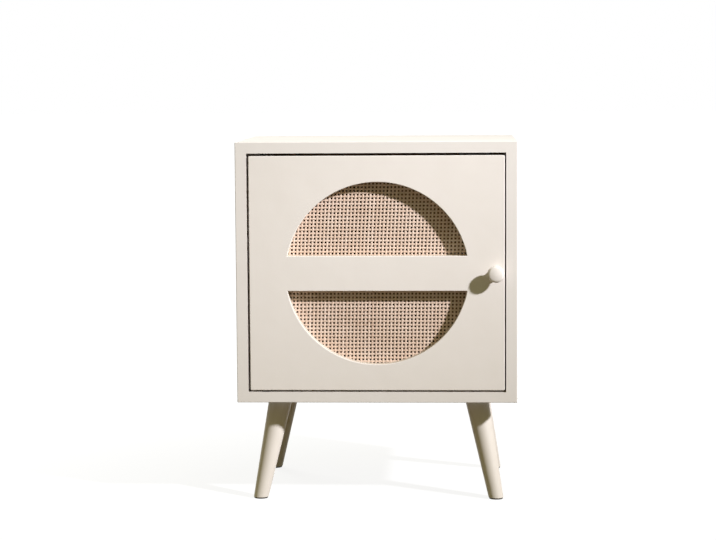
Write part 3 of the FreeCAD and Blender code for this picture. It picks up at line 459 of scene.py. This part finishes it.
def ferrite(graph):
    """Sintered magnet: charcoal with fine pores."""
    place = graph.place()
    pores = graph.noise(place, 1900.0, 3.0)
    return graph.add("ShaderNodeBsdfPrincipled", sockets={
        "Base Color": graph.mix(pores, colour(58, 57, 58), colour(80, 79, 79)),
        "Roughness": 0.55 + pores * 0.25,
        "Normal": graph.bump(pores, 0.05 * MM),
    })


def hardboard(graph):
    """Pressed brown fibreboard: matted fibres, fine dark flecks and a burnished face. Its dark brown is
    partly painted shade, standing in for the dark inside the closed cabinet seen through the cane.
    """
    place = graph.place()
    matted = graph.noise(place, 900.0, 5.0, 0.7)
    fibre = graph.noise(graph.stretched(place, (260.0, 260.0, 1400.0)), 1.0, 3.0)
    cloud = graph.noise(place, 9.0, 2.0)
    share = (matted * 0.6 + cloud * 0.6 - 0.1).clamped()
    tone = graph.mix(share, colour(124, 86, 56), colour(152, 112, 78))
    tone = graph.mix(((fibre - 0.6) * 7.0).clamped() * 0.5, tone, colour(92, 62, 40))
    return graph.add("ShaderNodeBsdfPrincipled", sockets={
        "Base Color": tone,
        "Roughness": 0.52 + matted * 0.18,
        "Normal": graph.bump(matted * 0.6 + fibre * 0.4, 0.06 * MM),
    })


def beech(graph):
    """Bare beech dowel: long fibres with short dark flecks."""
    place = graph.place()
    fibre = graph.noise(graph.stretched(place, (1500.0, 1500.0, 60.0)), 1.0, 3.0)
    fleck = graph.noise(graph.stretched(place, (900.0, 900.0, 220.0)), 1.0, 1.0)
    tone = graph.mix(fibre, colour(214, 180, 142), colour(190, 150, 110))
    tone = graph.mix(((fleck - 0.62) * 8.0).clamped() * 0.6, tone, colour(146, 104, 70))
    return graph.add("ShaderNodeBsdfPrincipled", sockets={
        "Base Color": tone,
        "Roughness": 0.62 + fibre * 0.12,
        "Normal": graph.bump(fibre, 0.08 * MM),
    })


def dark_felt(graph):
    """Pressed felt glide: matted dark fibres."""
    place = graph.place()
    matted = graph.noise(place, 1400.0, 4.0, 0.7)
    tuft = graph.noise(place, 320.0, 2.0)
    return graph.add("ShaderNodeBsdfPrincipled", sockets={
        "Base Color": graph.mix(matted, colour(44, 40, 36), colour(78, 72, 64)),
        "Roughness": 0.88 + matted * 0.1,
        "Normal": graph.bump(matted * 0.7 + tuft * 0.3, 0.4 * MM),
    })


def seen_directly(graph):
    """1 where the camera, or a reflection, looks straight at a surface."""
    node = graph.add("ShaderNodeLightPath").socket.node
    camera, gloss, through = (Signal(graph, node.outputs[name]) for name in (
        "Is Camera Ray", "Is Glossy Ray", "Is Transmission Ray"))
    return camera.most(gloss).most(through)


WHITE = (1.0, 1.0, 1.0, 1.0)
FLOOR_BOUNCE = colour(100, 82, 34)
FLOOR_GLOW = 1.06
GLOW_IN_SHADOW = 0.82
SHADOW_REACH = 0.25
SHADOW_FADE = 0.6


def pale_floor(graph):
    """White where it is looked at, fading from the table's soft shadow to plain white further out."""
    x, y = graph.axes(graph.place())[:2]
    far = (((x * x + y * y).root() - SHADOW_REACH) / SHADOW_FADE).clamped()
    grain = graph.noise(graph.place(), 300.0, 2.0)
    paper = graph.add("ShaderNodeBsdfDiffuse", sockets={
        "Color": graph.mix(grain, colour(250, 250, 250), colour(246, 246, 246))})
    white = graph.add("ShaderNodeEmission", sockets={"Color": WHITE, "Strength": FLOOR_GLOW})
    glow = GLOW_IN_SHADOW + far * (1.0 - GLOW_IN_SHADOW)
    looked_at = graph.add("ShaderNodeMixShader", sockets={0: glow, 1: paper, 2: white})
    dim = graph.add("ShaderNodeBsdfDiffuse", sockets={"Color": FLOOR_BOUNCE})
    return graph.add("ShaderNodeMixShader", sockets={0: seen_directly(graph), 1: dim, 2: looked_at})


# Meshes.

def shown(name, mesh):
    item = bpy.data.objects.new(name, mesh)
    bpy.context.scene.collection.objects.link(item)
    return item


def plain_mesh(item):
    """The item's final mesh with its modifiers worked in; the item itself goes."""
    bpy.context.view_layer.update()
    depsgraph = bpy.context.evaluated_depsgraph_get()
    mesh = bpy.data.meshes.new_from_object(
        item.evaluated_get(depsgraph), preserve_all_data_layers=True, depsgraph=depsgraph)
    bpy.data.objects.remove(item)
    return mesh


def evened(mesh):
    """Smooth over gentle angles, crisp over sharp ones, flat on the large faces."""
    mesh.polygons.foreach_set("use_smooth", [True] * len(mesh.polygons))
    mesh.set_sharp_from_angle(angle=SMOOTH_UP_TO)
    item = shown("evened", mesh)
    weighted = item.modifiers.new("weighted", "WEIGHTED_NORMAL")
    weighted.keep_sharp = True
    weighted.weight = 100
    return plain_mesh(item)


def fitted(name, mesh, body, surface=None, replaced=()):
    """A finished piece: it takes its surface, rides on its body and stands for its nodes."""
    if surface is not None:
        mesh.materials.clear()
        mesh.materials.append(surface)
    mesh.name = name
    item = shown(name, mesh)
    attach(item, body)
    if replaced:
        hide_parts(*replaced)
    return item


def add_lathe(shape, profile, segments, place=lambda ring, point: point):
    """Rings of a turned shape, from (radius, height) pairs; a radius of 0 closes it in a pole."""
    rings = []
    for number, (radius, height) in enumerate(profile):
        if radius == 0:
            rings.append([shape.verts.new(place(number, Vector((0, 0, height))))])
            continue
        ring = []
        for step in range(segments):
            angle = math.tau * step / segments
            point = Vector((radius * math.cos(angle), radius * math.sin(angle), height))
            ring.append(shape.verts.new(place(number, point)))
        rings.append(ring)
    for lower, upper in zip(rings, rings[1:]):
        for step in range(segments):
            after = (step + 1) % segments
            if len(lower) == 1:
                shape.faces.new((lower[0], upper[after], upper[step]))
            elif len(upper) == 1:
                shape.faces.new((lower[step], lower[after], upper[0]))
            else:
                shape.faces.new((lower[step], lower[after], upper[after], upper[step]))
    return rings


def mesh_of(shape, name):
    mesh = bpy.data.meshes.new(name)
    shape.to_mesh(mesh)
    shape.free()
    return mesh


# Legs and glides.

def leg_places():
    """Each leg's name and the signs that mirror the front right one."""
    for end, depth_sign in (("front", 1), ("rear", -1)):
        for side, side_sign in (("left", -1), ("right", 1)):
            yield f"leg_{end}_{side}", side_sign, depth_sign


def mirrored(point, side_sign, depth_sign):
    depth = LEG_MIDDLE_DEPTH + depth_sign * (point.y - LEG_MIDDLE_DEPTH)
    return Vector((side_sign * point.x, depth, point.z))


def make_legs(surface):
    """Tapered legs, cut level at both ends with an eased arris."""
    taper = (LEG_HEAD_RADIUS - LEG_FOOT_RADIUS) / LEG_LENGTH
    arris_insets = [LEG_ARRIS * (1 - math.sin(arc)) for arc in LEG_ARRIS_STEPS]
    arris_rises = [LEG_ARRIS * (1 - math.cos(arc)) for arc in LEG_ARRIS_STEPS]
    insets = arris_insets + [0.0] * len(LEG_RING_SHARES) + arris_insets[::-1]
    levels = [LEG_FOOT_LEVEL + rise for rise in arris_rises]
    levels += [LEG_HEAD_LEVEL * share for share in LEG_RING_SHARES]
    levels += [LEG_HEAD_LEVEL - rise for rise in arris_rises[::-1]]
    profile = [(0.0, levels[0])] + [(1.0, level) for level in levels] + [(0.0, levels[-1])]
    for name, side_sign, depth_sign in leg_places():
        foot = mirrored(LEG_FOOT, side_sign, depth_sign)
        axis = (mirrored(LEG_HEAD, side_sign, depth_sign) - foot).normalized()
        turn = axis.to_track_quat("Z", "Y").to_matrix()

        def place(ring, point, foot=foot, axis=axis, turn=turn):
            if not 0 < ring <= len(levels):
                return foot + axis * (point.z / axis.z)
            across = turn @ Vector((point.x, point.y, 0.0))
            radius = LEG_FOOT_RADIUS - insets[ring - 1]
            reach = (point.z - radius * across.z) / (axis.z + taper * across.z)
            return foot + axis * reach + across * (radius + taper * reach)

        shape = bmesh.new()
        add_lathe(shape, profile, LEG_SEGMENTS, place)
        bmesh.ops.recalc_face_normals(shape, faces=shape.faces)
        fitted(name + "_turned", evened(mesh_of(shape, name)), "cabinet", surface, (name,))


def make_glides(surface):
    """A round pad under each foot, its rim eased at both faces."""
    shape = bmesh.new()
    rim = [(GLIDE_RADIUS - inset, height) for inset, height in GLIDE_RIM]
    profile = [(0.0, 0.0), *rim, (0.0, LEG_FOOT_LEVEL)]
    for name, side_sign, depth_sign in leg_places():
        foot, head = (mirrored(point, side_sign, depth_sign) for point in (LEG_FOOT, LEG_HEAD))
        middle = foot + (head - foot) * (LEG_FOOT_LEVEL / (head.z - foot.z))

        def place(ring, point, middle=middle):
            return Vector((middle.x + point.x, middle.y + point.y, point.z))

        add_lathe(shape, profile, GLIDE_SEGMENTS, place)
    bmesh.ops.recalc_face_normals(shape, faces=shape.faces)
    mesh = evened(mesh_of(shape, "glides"))
    fitted("glide_felts", mesh, "cabinet", surface, ("glide_pads",))


# Geometry trees.

def geometry_graph(name, inputs, output):
    """A new geometry tree with these inputs, as (kind, name) pairs, and its inputs' signals by name."""
    tree = bpy.data.node_groups.new(name, "GeometryNodeTree")
    for kind, label in inputs:
        tree.interface.new_socket(name=label, in_out="INPUT", socket_type="NodeSocket" + kind)
    tree.interface.new_socket(name=output, in_out="OUTPUT", socket_type="NodeSocketGeometry")
    graph = Graph(tree)
    given = graph.add("NodeGroupInput").socket.node
    return graph, {label: Signal(graph, given.outputs[label]) for kind, label in inputs}


def grown(name, tree, seed_mesh, sizes):
    """What a geometry tree makes with these sizes, as a plain mesh."""
    item = shown(name, seed_mesh)
    modifier = item.modifiers.new("grown", "NODES")
    modifier.node_group = tree
    for socket in tree.interface.items_tree:
        if socket.in_out == "INPUT" and socket.name in sizes:
            modifier[socket.identifier] = sizes[socket.name]
    return plain_mesh(item)


# Cane webbing.

def strand_tree():
    """Parallel strands inside a circle, each weaving over and under those that cross it."""
    graph, size = geometry_graph("cane strands", (
        ("Int", "Count"), ("Int", "Crossing Count"), ("Int", "Seed"),
        ("Float", "Pitch"), ("Float", "Crossing Pitch"), ("Float", "Shift"), ("Float", "Crossing Shift"),
        ("Float", "Lean"), ("Float", "Crossing Lean"), ("Float", "Bow"), ("Float", "Crossing Bow"),
        ("Float", "Radius"), ("Float", "Width"), ("Float", "Thickness"),
        ("Float", "Wave"), ("Float", "Unevenness"), ("Material", "Surface")), "Strands")
    first = (size["Count"] - 1.0) * size["Pitch"] * -0.5 + size["Shift"]
    line = graph.add("GeometryNodeMeshLine", {"mode": "OFFSET"}, {
        "Count": size["Count"],
        "Start Location": graph.vector(first, 0.0, 0.0),
        "Offset": graph.vector(size["Pitch"], 0.0, 0.0)})
    rod = graph.add("GeometryNodeCurvePrimitiveLine", {"mode": "POINTS"}, {
        "Start": (0.0, -1.0, 0.0), "End": (0.0, 1.0, 0.0)})
    rods = graph.add("GeometryNodeInstanceOnPoints", sockets={"Points": line, "Instance": rod})
    rods = graph.add("GeometryNodeRealizeInstances", sockets={0: rods})

    x, y = graph.axes(graph.add("GeometryNodeInputPosition"))[:2]
    slope = size["Lean"] * size["Lean"] + 1.0
    left = (size["Radius"] * size["Radius"] * slope - x * x).most(0.0)
    half = left.root() / slope
    trimmed = graph.add("GeometryNodeSetPosition", sockets={
        "Geometry": rods,
        "Position": graph.vector(x, y * half - size["Lean"] * x / slope, 0.0)})
    sampled = graph.add("GeometryNodeResampleCurve", {"mode": "LENGTH"}, {
        "Curve": trimmed, "Length": size["Crossing Pitch"] / STEPS_PER_CROSSING})

    number = ((x - first) / size["Pitch"]).rounded()

    def chance(offset):
        return graph.add("FunctionNodeRandomValue", {"data_type": "FLOAT"}, {
            "ID": number, "Seed": size["Seed"] + offset}, result=1)

    toned = graph.add("GeometryNodeStoreNamedAttribute", {"data_type": "FLOAT", "domain": "POINT"}, {
        "Geometry": sampled, "Name": "strand_tone", "Value": chance(1.0)})
    drift = graph.vector(x * STRAND_WANDER_ACROSS, y * STRAND_WANDER_ALONG, size["Seed"])
    wander = graph.noise(drift, 1.0, 1.0) - 0.5
    crossing = y - size["Crossing Lean"] * x - size["Crossing Bow"] * x * x - size["Crossing Shift"]
    crossing = crossing / size["Crossing Pitch"] + (size["Crossing Count"] - 1.0) * 0.5
    phase = (crossing + number) * math.pi
    height = size["Wave"] * phase.cosine()
    aside = (chance(2.0) - 0.5 + wander * 2.0) * size["Unevenness"]
    waved = graph.add("GeometryNodeSetPosition", sockets={
        "Geometry": toned,
        "Position": graph.vector(x + size["Lean"] * y + size["Bow"] * y * y + aside, y, height)})
    broad = graph.add("GeometryNodeSetCurveRadius", sockets={
        "Curve": waved, "Radius": STRAND_SLIMMEST + chance(3.0) * STRAND_WIDTH_SPREAD})
    upright = graph.add("GeometryNodeSetCurveNormal", {"mode": "Z_UP"}, {"Curve": broad})
    section = graph.add("GeometryNodeCurvePrimitiveCircle", {"mode": "RADIUS"}, {
        "Resolution": STRAND_SECTION_POINTS, "Radius": 0.5})
    section = graph.add("GeometryNodeTransform", sockets={
        "Geometry": section, "Scale": graph.vector(size["Width"], size["Thickness"], 1.0)})
    strips = graph.add("GeometryNodeCurveToMesh", sockets={
        "Curve": upright, "Profile Curve": section, "Fill Caps": True})
    strips = graph.add("GeometryNodeSetShadeSmooth", sockets={"Geometry": strips, "Shade Smooth": True})
    strips = graph.add("GeometryNodeRealizeInstances", sockets={0: strips})
    strips = graph.add("GeometryNodeSetMaterial", sockets={"Geometry": strips, "Material": size["Surface"]})
    graph.add("NodeGroupOutput", sockets={"Strands": strips})
    return graph.tree


def make_cane(upright_surface, level_surface):
    """Both sets of strands, in step, so that each passes over where the other passes under."""
    tree = strand_tree()
    uprights = int(2 * CANE_RADIUS / UPRIGHT_PITCH)
    levels = int(2 * CANE_RADIUS / LEVEL_PITCH)
    shared = {"Radius": CANE_RADIUS, "Width": STRAND_WIDTH, "Thickness": STRAND_THICKNESS,
              "Unevenness": STRAND_UNEVENNESS}
    # The quarter turn numbers the levels from the top, which swaps over and under if their count is odd.
    level_wave = -STRAND_WAVE if levels % 2 else STRAND_WAVE
    for name, surface, turned, sizes in (
        ("cane_uprights", upright_surface, 0.0, {
            "Count": uprights, "Crossing Count": levels, "Seed": 11,
            "Pitch": UPRIGHT_PITCH, "Crossing Pitch": LEVEL_PITCH,
            "Shift": UPRIGHT_SHIFT, "Crossing Shift": LEVEL_SHIFT,
            "Lean": UPRIGHT_LEAN, "Crossing Lean": 0.0, "Bow": UPRIGHT_BOW, "Crossing Bow": 0.0,
            "Wave": STRAND_WAVE}),
        ("cane_levels", level_surface, -math.pi / 2, {
            "Count": levels, "Crossing Count": uprights, "Seed": 29,
            "Pitch": LEVEL_PITCH, "Crossing Pitch": UPRIGHT_PITCH,
            "Shift": -LEVEL_SHIFT, "Crossing Shift": UPRIGHT_SHIFT,
            "Lean": 0.0, "Crossing Lean": -UPRIGHT_LEAN, "Bow": 0.0, "Crossing Bow": UPRIGHT_BOW,
            "Wave": level_wave}),
    ):
        mesh = grown(name, tree, bpy.data.meshes.new(name), {**shared, **sizes, "Surface": surface})
        mesh.transform(Matrix.Translation(CIRCLE_MIDDLE) @ Matrix.Rotation(math.pi / 2, 4, "X")
                       @ Matrix.Rotation(turned, 4, "Z"))
        fitted(name, mesh, "door", replaced=("cane_webbing",))


# Screws.

def cross_outline(arm, reach):
    """The corners of a cross, arm being half the width of an arm and reach its length."""
    return [(reach, -arm), (reach, arm), (arm, arm), (arm, reach), (-arm, reach), (-arm, arm),
            (-reach, arm), (-reach, -arm), (-arm, -arm), (-arm, -reach), (arm, -reach), (arm, -arm)]


def screw_mesh(screw):
    """A cross-recessed screw along Z, with the underside of its head at height 0, or its face if sunk."""
    head, rise, shank = screw.head_radius, screw.head_height, screw.shank_radius
    top = 0.0 if screw.sunk else rise
    profile = [(0.0, -screw.length), (shank * TIP_RADIUS, shank * TIP_LENGTH - screw.length)]
    pitch = shank * THREAD_PITCH
    for turn in range(int((screw.length - shank * THREAD_MARGIN) / pitch)):
        height = shank * THREAD_START - screw.length + turn * pitch
        profile.append((shank * THREAD_ROOT, height))
        profile.append((shank * THREAD_CREST, height + pitch / 2))
    if screw.sunk:
        profile += [(shank * NECK_RADIUS, -rise), (head * SUNK_RIM, -SUNK_RIM_DEPTH), (head, 0.0)]
        crown = head * SUNK_CROWN
    else:
        profile += [(shank * NECK_RADIUS, 0.0), (head * DOME_FOOT, 0.0), (head, rise * DOME_RIM_HEIGHT)]
        for level in DOME_LEVELS:
            profile.append((head * math.sqrt(1 - DOME_FALL * level ** 2), rise * level))
        crown = head * DOME_CROWN
    shape = bmesh.new()
    rings = add_lathe(shape, profile + [(crown, top)], SCREW_SEGMENTS)
    arm, reach = head * CROSS_ARM, head * CROSS_REACH
    floor = top - rise * CROSS_DEPTH
    mouth = [shape.verts.new((x, y, top)) for x, y in cross_outline(arm, reach)]
    sole = [shape.verts.new((x, y, floor))
            for x, y in cross_outline(arm * CROSS_SOLE_ARM, reach * CROSS_SOLE_REACH)]
    edges = []
    for loop in (rings[-1], mouth):
        for first, second in zip(loop, loop[1:] + loop[:1]):
            edges.append(shape.edges.get((first, second)) or shape.edges.new((first, second)))
    for number in range(len(mouth)):
        after = (number + 1) % len(mouth)
        shape.faces.new((mouth[number], mouth[after], sole[after], sole[number]))
    shape.faces.new(sole)
    bmesh.ops.triangle_fill(shape, use_beauty=True, use_dissolve=False, edges=edges)
    bmesh.ops.recalc_face_normals(shape, faces=shape.faces)
    return evened(mesh_of(shape, "screw"))


def scatter_tree():
    """One screw at each point, along the point's axis, each driven home at its own angle."""
    graph, given = geometry_graph("driven screws", (
        ("Geometry", "Places"), ("Object", "Screw"), ("Int", "Seed"), ("Material", "Surface")), "Screws")
    axis = graph.add("GeometryNodeInputNamedAttribute", {"data_type": "FLOAT_VECTOR"}, {"Name": "axis"})
    along = graph.add("FunctionNodeAlignRotationToVector", {"axis": "Z"}, {"Vector": axis})
    spin = graph.add("FunctionNodeRandomValue", {"data_type": "FLOAT"}, {
        3: math.tau, "Seed": given["Seed"]}, result=1)
    spun = graph.add("FunctionNodeAxisAngleToRotation", sockets={"Axis": (0.0, 0.0, 1.0), "Angle": spin})
    turned = graph.add("FunctionNodeRotateRotation", {"rotation_space": "LOCAL"}, {
        "Rotation": along, "Rotate By": spun})
    shape = graph.add("GeometryNodeObjectInfo", sockets={"Object": given["Screw"]}, result="Geometry")
    driven = graph.add("GeometryNodeInstanceOnPoints", sockets={
        "Points": given["Places"], "Instance": shape, "Rotation": turned})
    driven = graph.add("GeometryNodeRealizeInstances", sockets={0: driven})
    driven = graph.add("GeometryNodeSetMaterial", sockets={
        "Geometry": driven, "Material": given["Surface"]})
    graph.add("NodeGroupOutput", sockets={"Screws": driven})
    return graph.tree


def retainer_screw_points():
    """Evenly round the retainer's rear face."""
    rear_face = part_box("webbing_retainer")[1].y
    for step in range(RETAINER_SCREW_COUNT):
        angle = math.tau * (step + 0.5) / RETAINER_SCREW_COUNT
        aside = Vector((math.cos(angle), 0.0, math.sin(angle))) * RETAINER_SCREW_CIRCLE
        yield Vector((CIRCLE_MIDDLE.x, rear_face, CIRCLE_MIDDLE.z)) + aside


def catch_screw_points():
    """Under the middle of each ear of the catch."""
    low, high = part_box("catch_housing")
    for x in (low.x + CATCH_EAR.x / 2, high.x - CATCH_EAR.x / 2):
        yield Vector((x, low.y + CATCH_EAR.y / 2, high.z - CATCH_EAR.z))


def plate_screw_points():
    """Under the corners of each leg plate, the inner ones first."""
    for side in ("left", "right"):
        for end in ("front", "rear"):
            low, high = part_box(f"leg_plate_{end}_{side}")
            for x in sorted((low.x + PLATE_HOLE_INSET, high.x - PLATE_HOLE_INSET), key=abs):
                for y in (low.y + PLATE_HOLE_INSET, high.y - PLATE_HOLE_INSET):
                    yield Vector((x, y, low.z))


def make_screws(surface):
    """Every screw that shows. On the door the heads face the rear, and under the boards they face down."""
    knob_place = Vector((DOOR_HIGH.x - KNOB_EDGE_DISTANCE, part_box("knob_washer")[1].y, CIRCLE_MIDDLE.z))
    strike_low, strike_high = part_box("strike_plate")
    strike_place = (strike_low + strike_high) / 2
    strike_place.y = strike_high.y
    rearward, downward = (0, 1, 0), (0, 0, -1)
    sets = (
        ("retainer_screw_set", "door", "retainer_screws", RETAINER_SCREW, rearward, retainer_screw_points()),
        ("knob_screw_driven", "door", "knob_screw", KNOB_SCREW, rearward, [knob_place]),
        ("strike_screw_driven", "door", "strike_screw", STRIKE_SCREW, rearward, [strike_place]),
        ("catch_screw_pair", "cabinet", "catch_screws", CATCH_SCREW, downward, catch_screw_points()),
        ("leg_plate_screw_set", "cabinet", "leg_plate_screws", PLATE_SCREW, downward, plate_screw_points()),
    )
    tree = scatter_tree()
    for seed, (name, body, node, screw, axis, points) in enumerate(sets):
        pattern = shown("screw", screw_mesh(screw))
        places = bpy.data.meshes.new("places")
        places.from_pydata(list(points), [], [])
        axes = places.attributes.new("axis", "FLOAT_VECTOR", "POINT")
        axes.data.foreach_set("vector", axis * len(places.vertices))
        mesh = grown(name, tree, places, {"Screw": pattern, "Seed": seed, "Surface": surface})
        bpy.data.objects.remove(pattern)
        fitted(name, mesh, body, replaced=(node,))


# Room, light and camera.

def make_room():
    """A plain floor, and a world that is white to the eye and dimmer as a light."""
    shape = bmesh.new()
    bmesh.ops.create_grid(shape, x_segments=FLOOR_SQUARES, y_segments=FLOOR_SQUARES, size=FLOOR_REACH)
    mesh = mesh_of(shape, "floor")
    mesh.transform(Matrix.Translation((0.0, 0.0, -FLOOR_DROP)))
    mesh.materials.append(finish("pale_floor", pale_floor))
    shown("floor", mesh)
    world = bpy.data.worlds.new("studio")
    world.use_nodes = True
    bpy.context.scene.world = world
    graph = Graph(world.node_tree)
    white = graph.add("ShaderNodeBackground", sockets={"Color": WHITE, "Strength": 1.0})
    fill = graph.add("ShaderNodeBackground", sockets={"Color": ROOM_FILL_COLOUR, "Strength": ROOM_FILL})
    both = graph.add("ShaderNodeMixShader", sockets={0: seen_directly(graph), 1: fill, 2: white})
    graph.add("ShaderNodeOutputWorld", sockets={"Surface": both})


def add_lamp(name, place, aim, size, power, spread=math.pi, shade=(1.0, 1.0, 1.0)):
    light = bpy.data.lights.new(name, "AREA")
    light.shape = "DISK"
    light.size = size
    light.energy = power
    light.color = shade
    light.spread = spread
    lamp = bpy.data.objects.new(name, light)
    bpy.context.scene.collection.objects.link(lamp)
    turn = (place - aim).to_track_quat("Z", "Y").to_matrix().to_4x4()
    lamp.matrix_world = Matrix.Translation(place) @ turn


def make_lamps():
    """A focused lamp from the upper right, and a broad one behind for the rear and the top."""
    add_lamp("key", TABLE_MIDDLE + LAMP_FROM * LAMP_DISTANCE, LAMP_AIM, LAMP_SIZE, LAMP_POWER,
             LAMP_SPREAD, LAMP_COLOUR)
    add_lamp("rear", REAR_LAMP_PLACE, TABLE_MIDDLE, REAR_LAMP_SIZE, REAR_LAMP_POWER)


def make_camera():
    """A long lens in front of the table, aimed by its yaw and pitch and rolled a little."""
    level = math.cos(CAMERA_PITCH)
    right = Vector((math.cos(CAMERA_YAW), math.sin(CAMERA_YAW), 0.0))
    forward = Vector((-math.sin(CAMERA_YAW) * level, math.cos(CAMERA_YAW) * level, -math.sin(CAMERA_PITCH)))
    up = right.cross(forward)
    across = right * math.cos(CAMERA_ROLL) + up * math.sin(CAMERA_ROLL)
    upward = up * math.cos(CAMERA_ROLL) - right * math.sin(CAMERA_ROLL)
    lens = bpy.data.cameras.new("camera")
    lens.sensor_fit = "HORIZONTAL"
    lens.sensor_width = CAMERA_SENSOR
    lens.lens = CAMERA_LENS
    lens.clip_end = CAMERA_RANGE
    camera = bpy.data.objects.new("camera", lens)
    bpy.context.scene.collection.objects.link(camera)
    turn = Matrix((across, upward, -forward)).transposed().to_4x4()
    camera.matrix_world = Matrix.Translation(CAMERA_PLACE) @ turn
    bpy.context.scene.camera = camera


def paint_nodes():
    """Gives each node that stays its finish, and hands back the steel for the screws."""
    carcass_cream = finish("cream_carcass", cream_lacquer, CARCASS_LOW, CARCASS_HIGH, CARCASS_CREAM)
    lacquered = {name: carcass_cream for name in (
        "top_panel", "bottom_panel", "side_panel_left", "side_panel_right")}
    for name in ("shelf", "webbing_retainer", "door_knob"):
        lacquered[name] = finish("cream_" + name, cream_lacquer, *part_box(name))
    # The door panel's cut-out walls get a painted shade.
    lacquered["door_panel"] = finish("cream_door_panel", cream_lacquer, DOOR_LOW, DOOR_HIGH, routed=True)
    steel = finish("zinc_steel", zinc_steel)
    plates = {name: steel for name in nodes if name.startswith("leg_plate")}
    fittings = {name: steel for name in (
        "cam_bolts", "hanger_bolts", "shelf_pins", "strike_plate", "catch_poles", "knob_washer")}
    plastic = finish("dark_plastic", dark_plastic)
    others = {
        "cam_locks": finish("die_cast_zinc", die_cast_zinc),
        "catch_housing": plastic, "hinge_bushes": plastic, "hinge_washer": plastic,
        "catch_magnet": finish("ferrite", ferrite),
        "hinge_pins": finish("black_steel", black_steel),
        "dowels": finish("beech", beech),
        # The back panel's dark brown is partly painted shade for the cabinet's inside.
        "back_panel": finish("hardboard", hardboard),
    }
    for name, surface in {**lacquered, **plates, **fittings, **others}.items():
        for slot in nodes[name].material_slots:
            slot.material = surface
    return steel


steel_surface = paint_nodes()
make_legs(finish("cream_leg", cream_lacquer, cad_low, cad_high, LEG_CREAM, turned=True))
make_glides(finish("dark_felt", dark_felt))
make_cane(finish("cane_upright", cane, 2), finish("cane_level", cane, 0))
make_screws(steel_surface)
make_room()
make_lamps()
make_camera()
bpy.context.scene.view_settings.view_transform = "Standard"
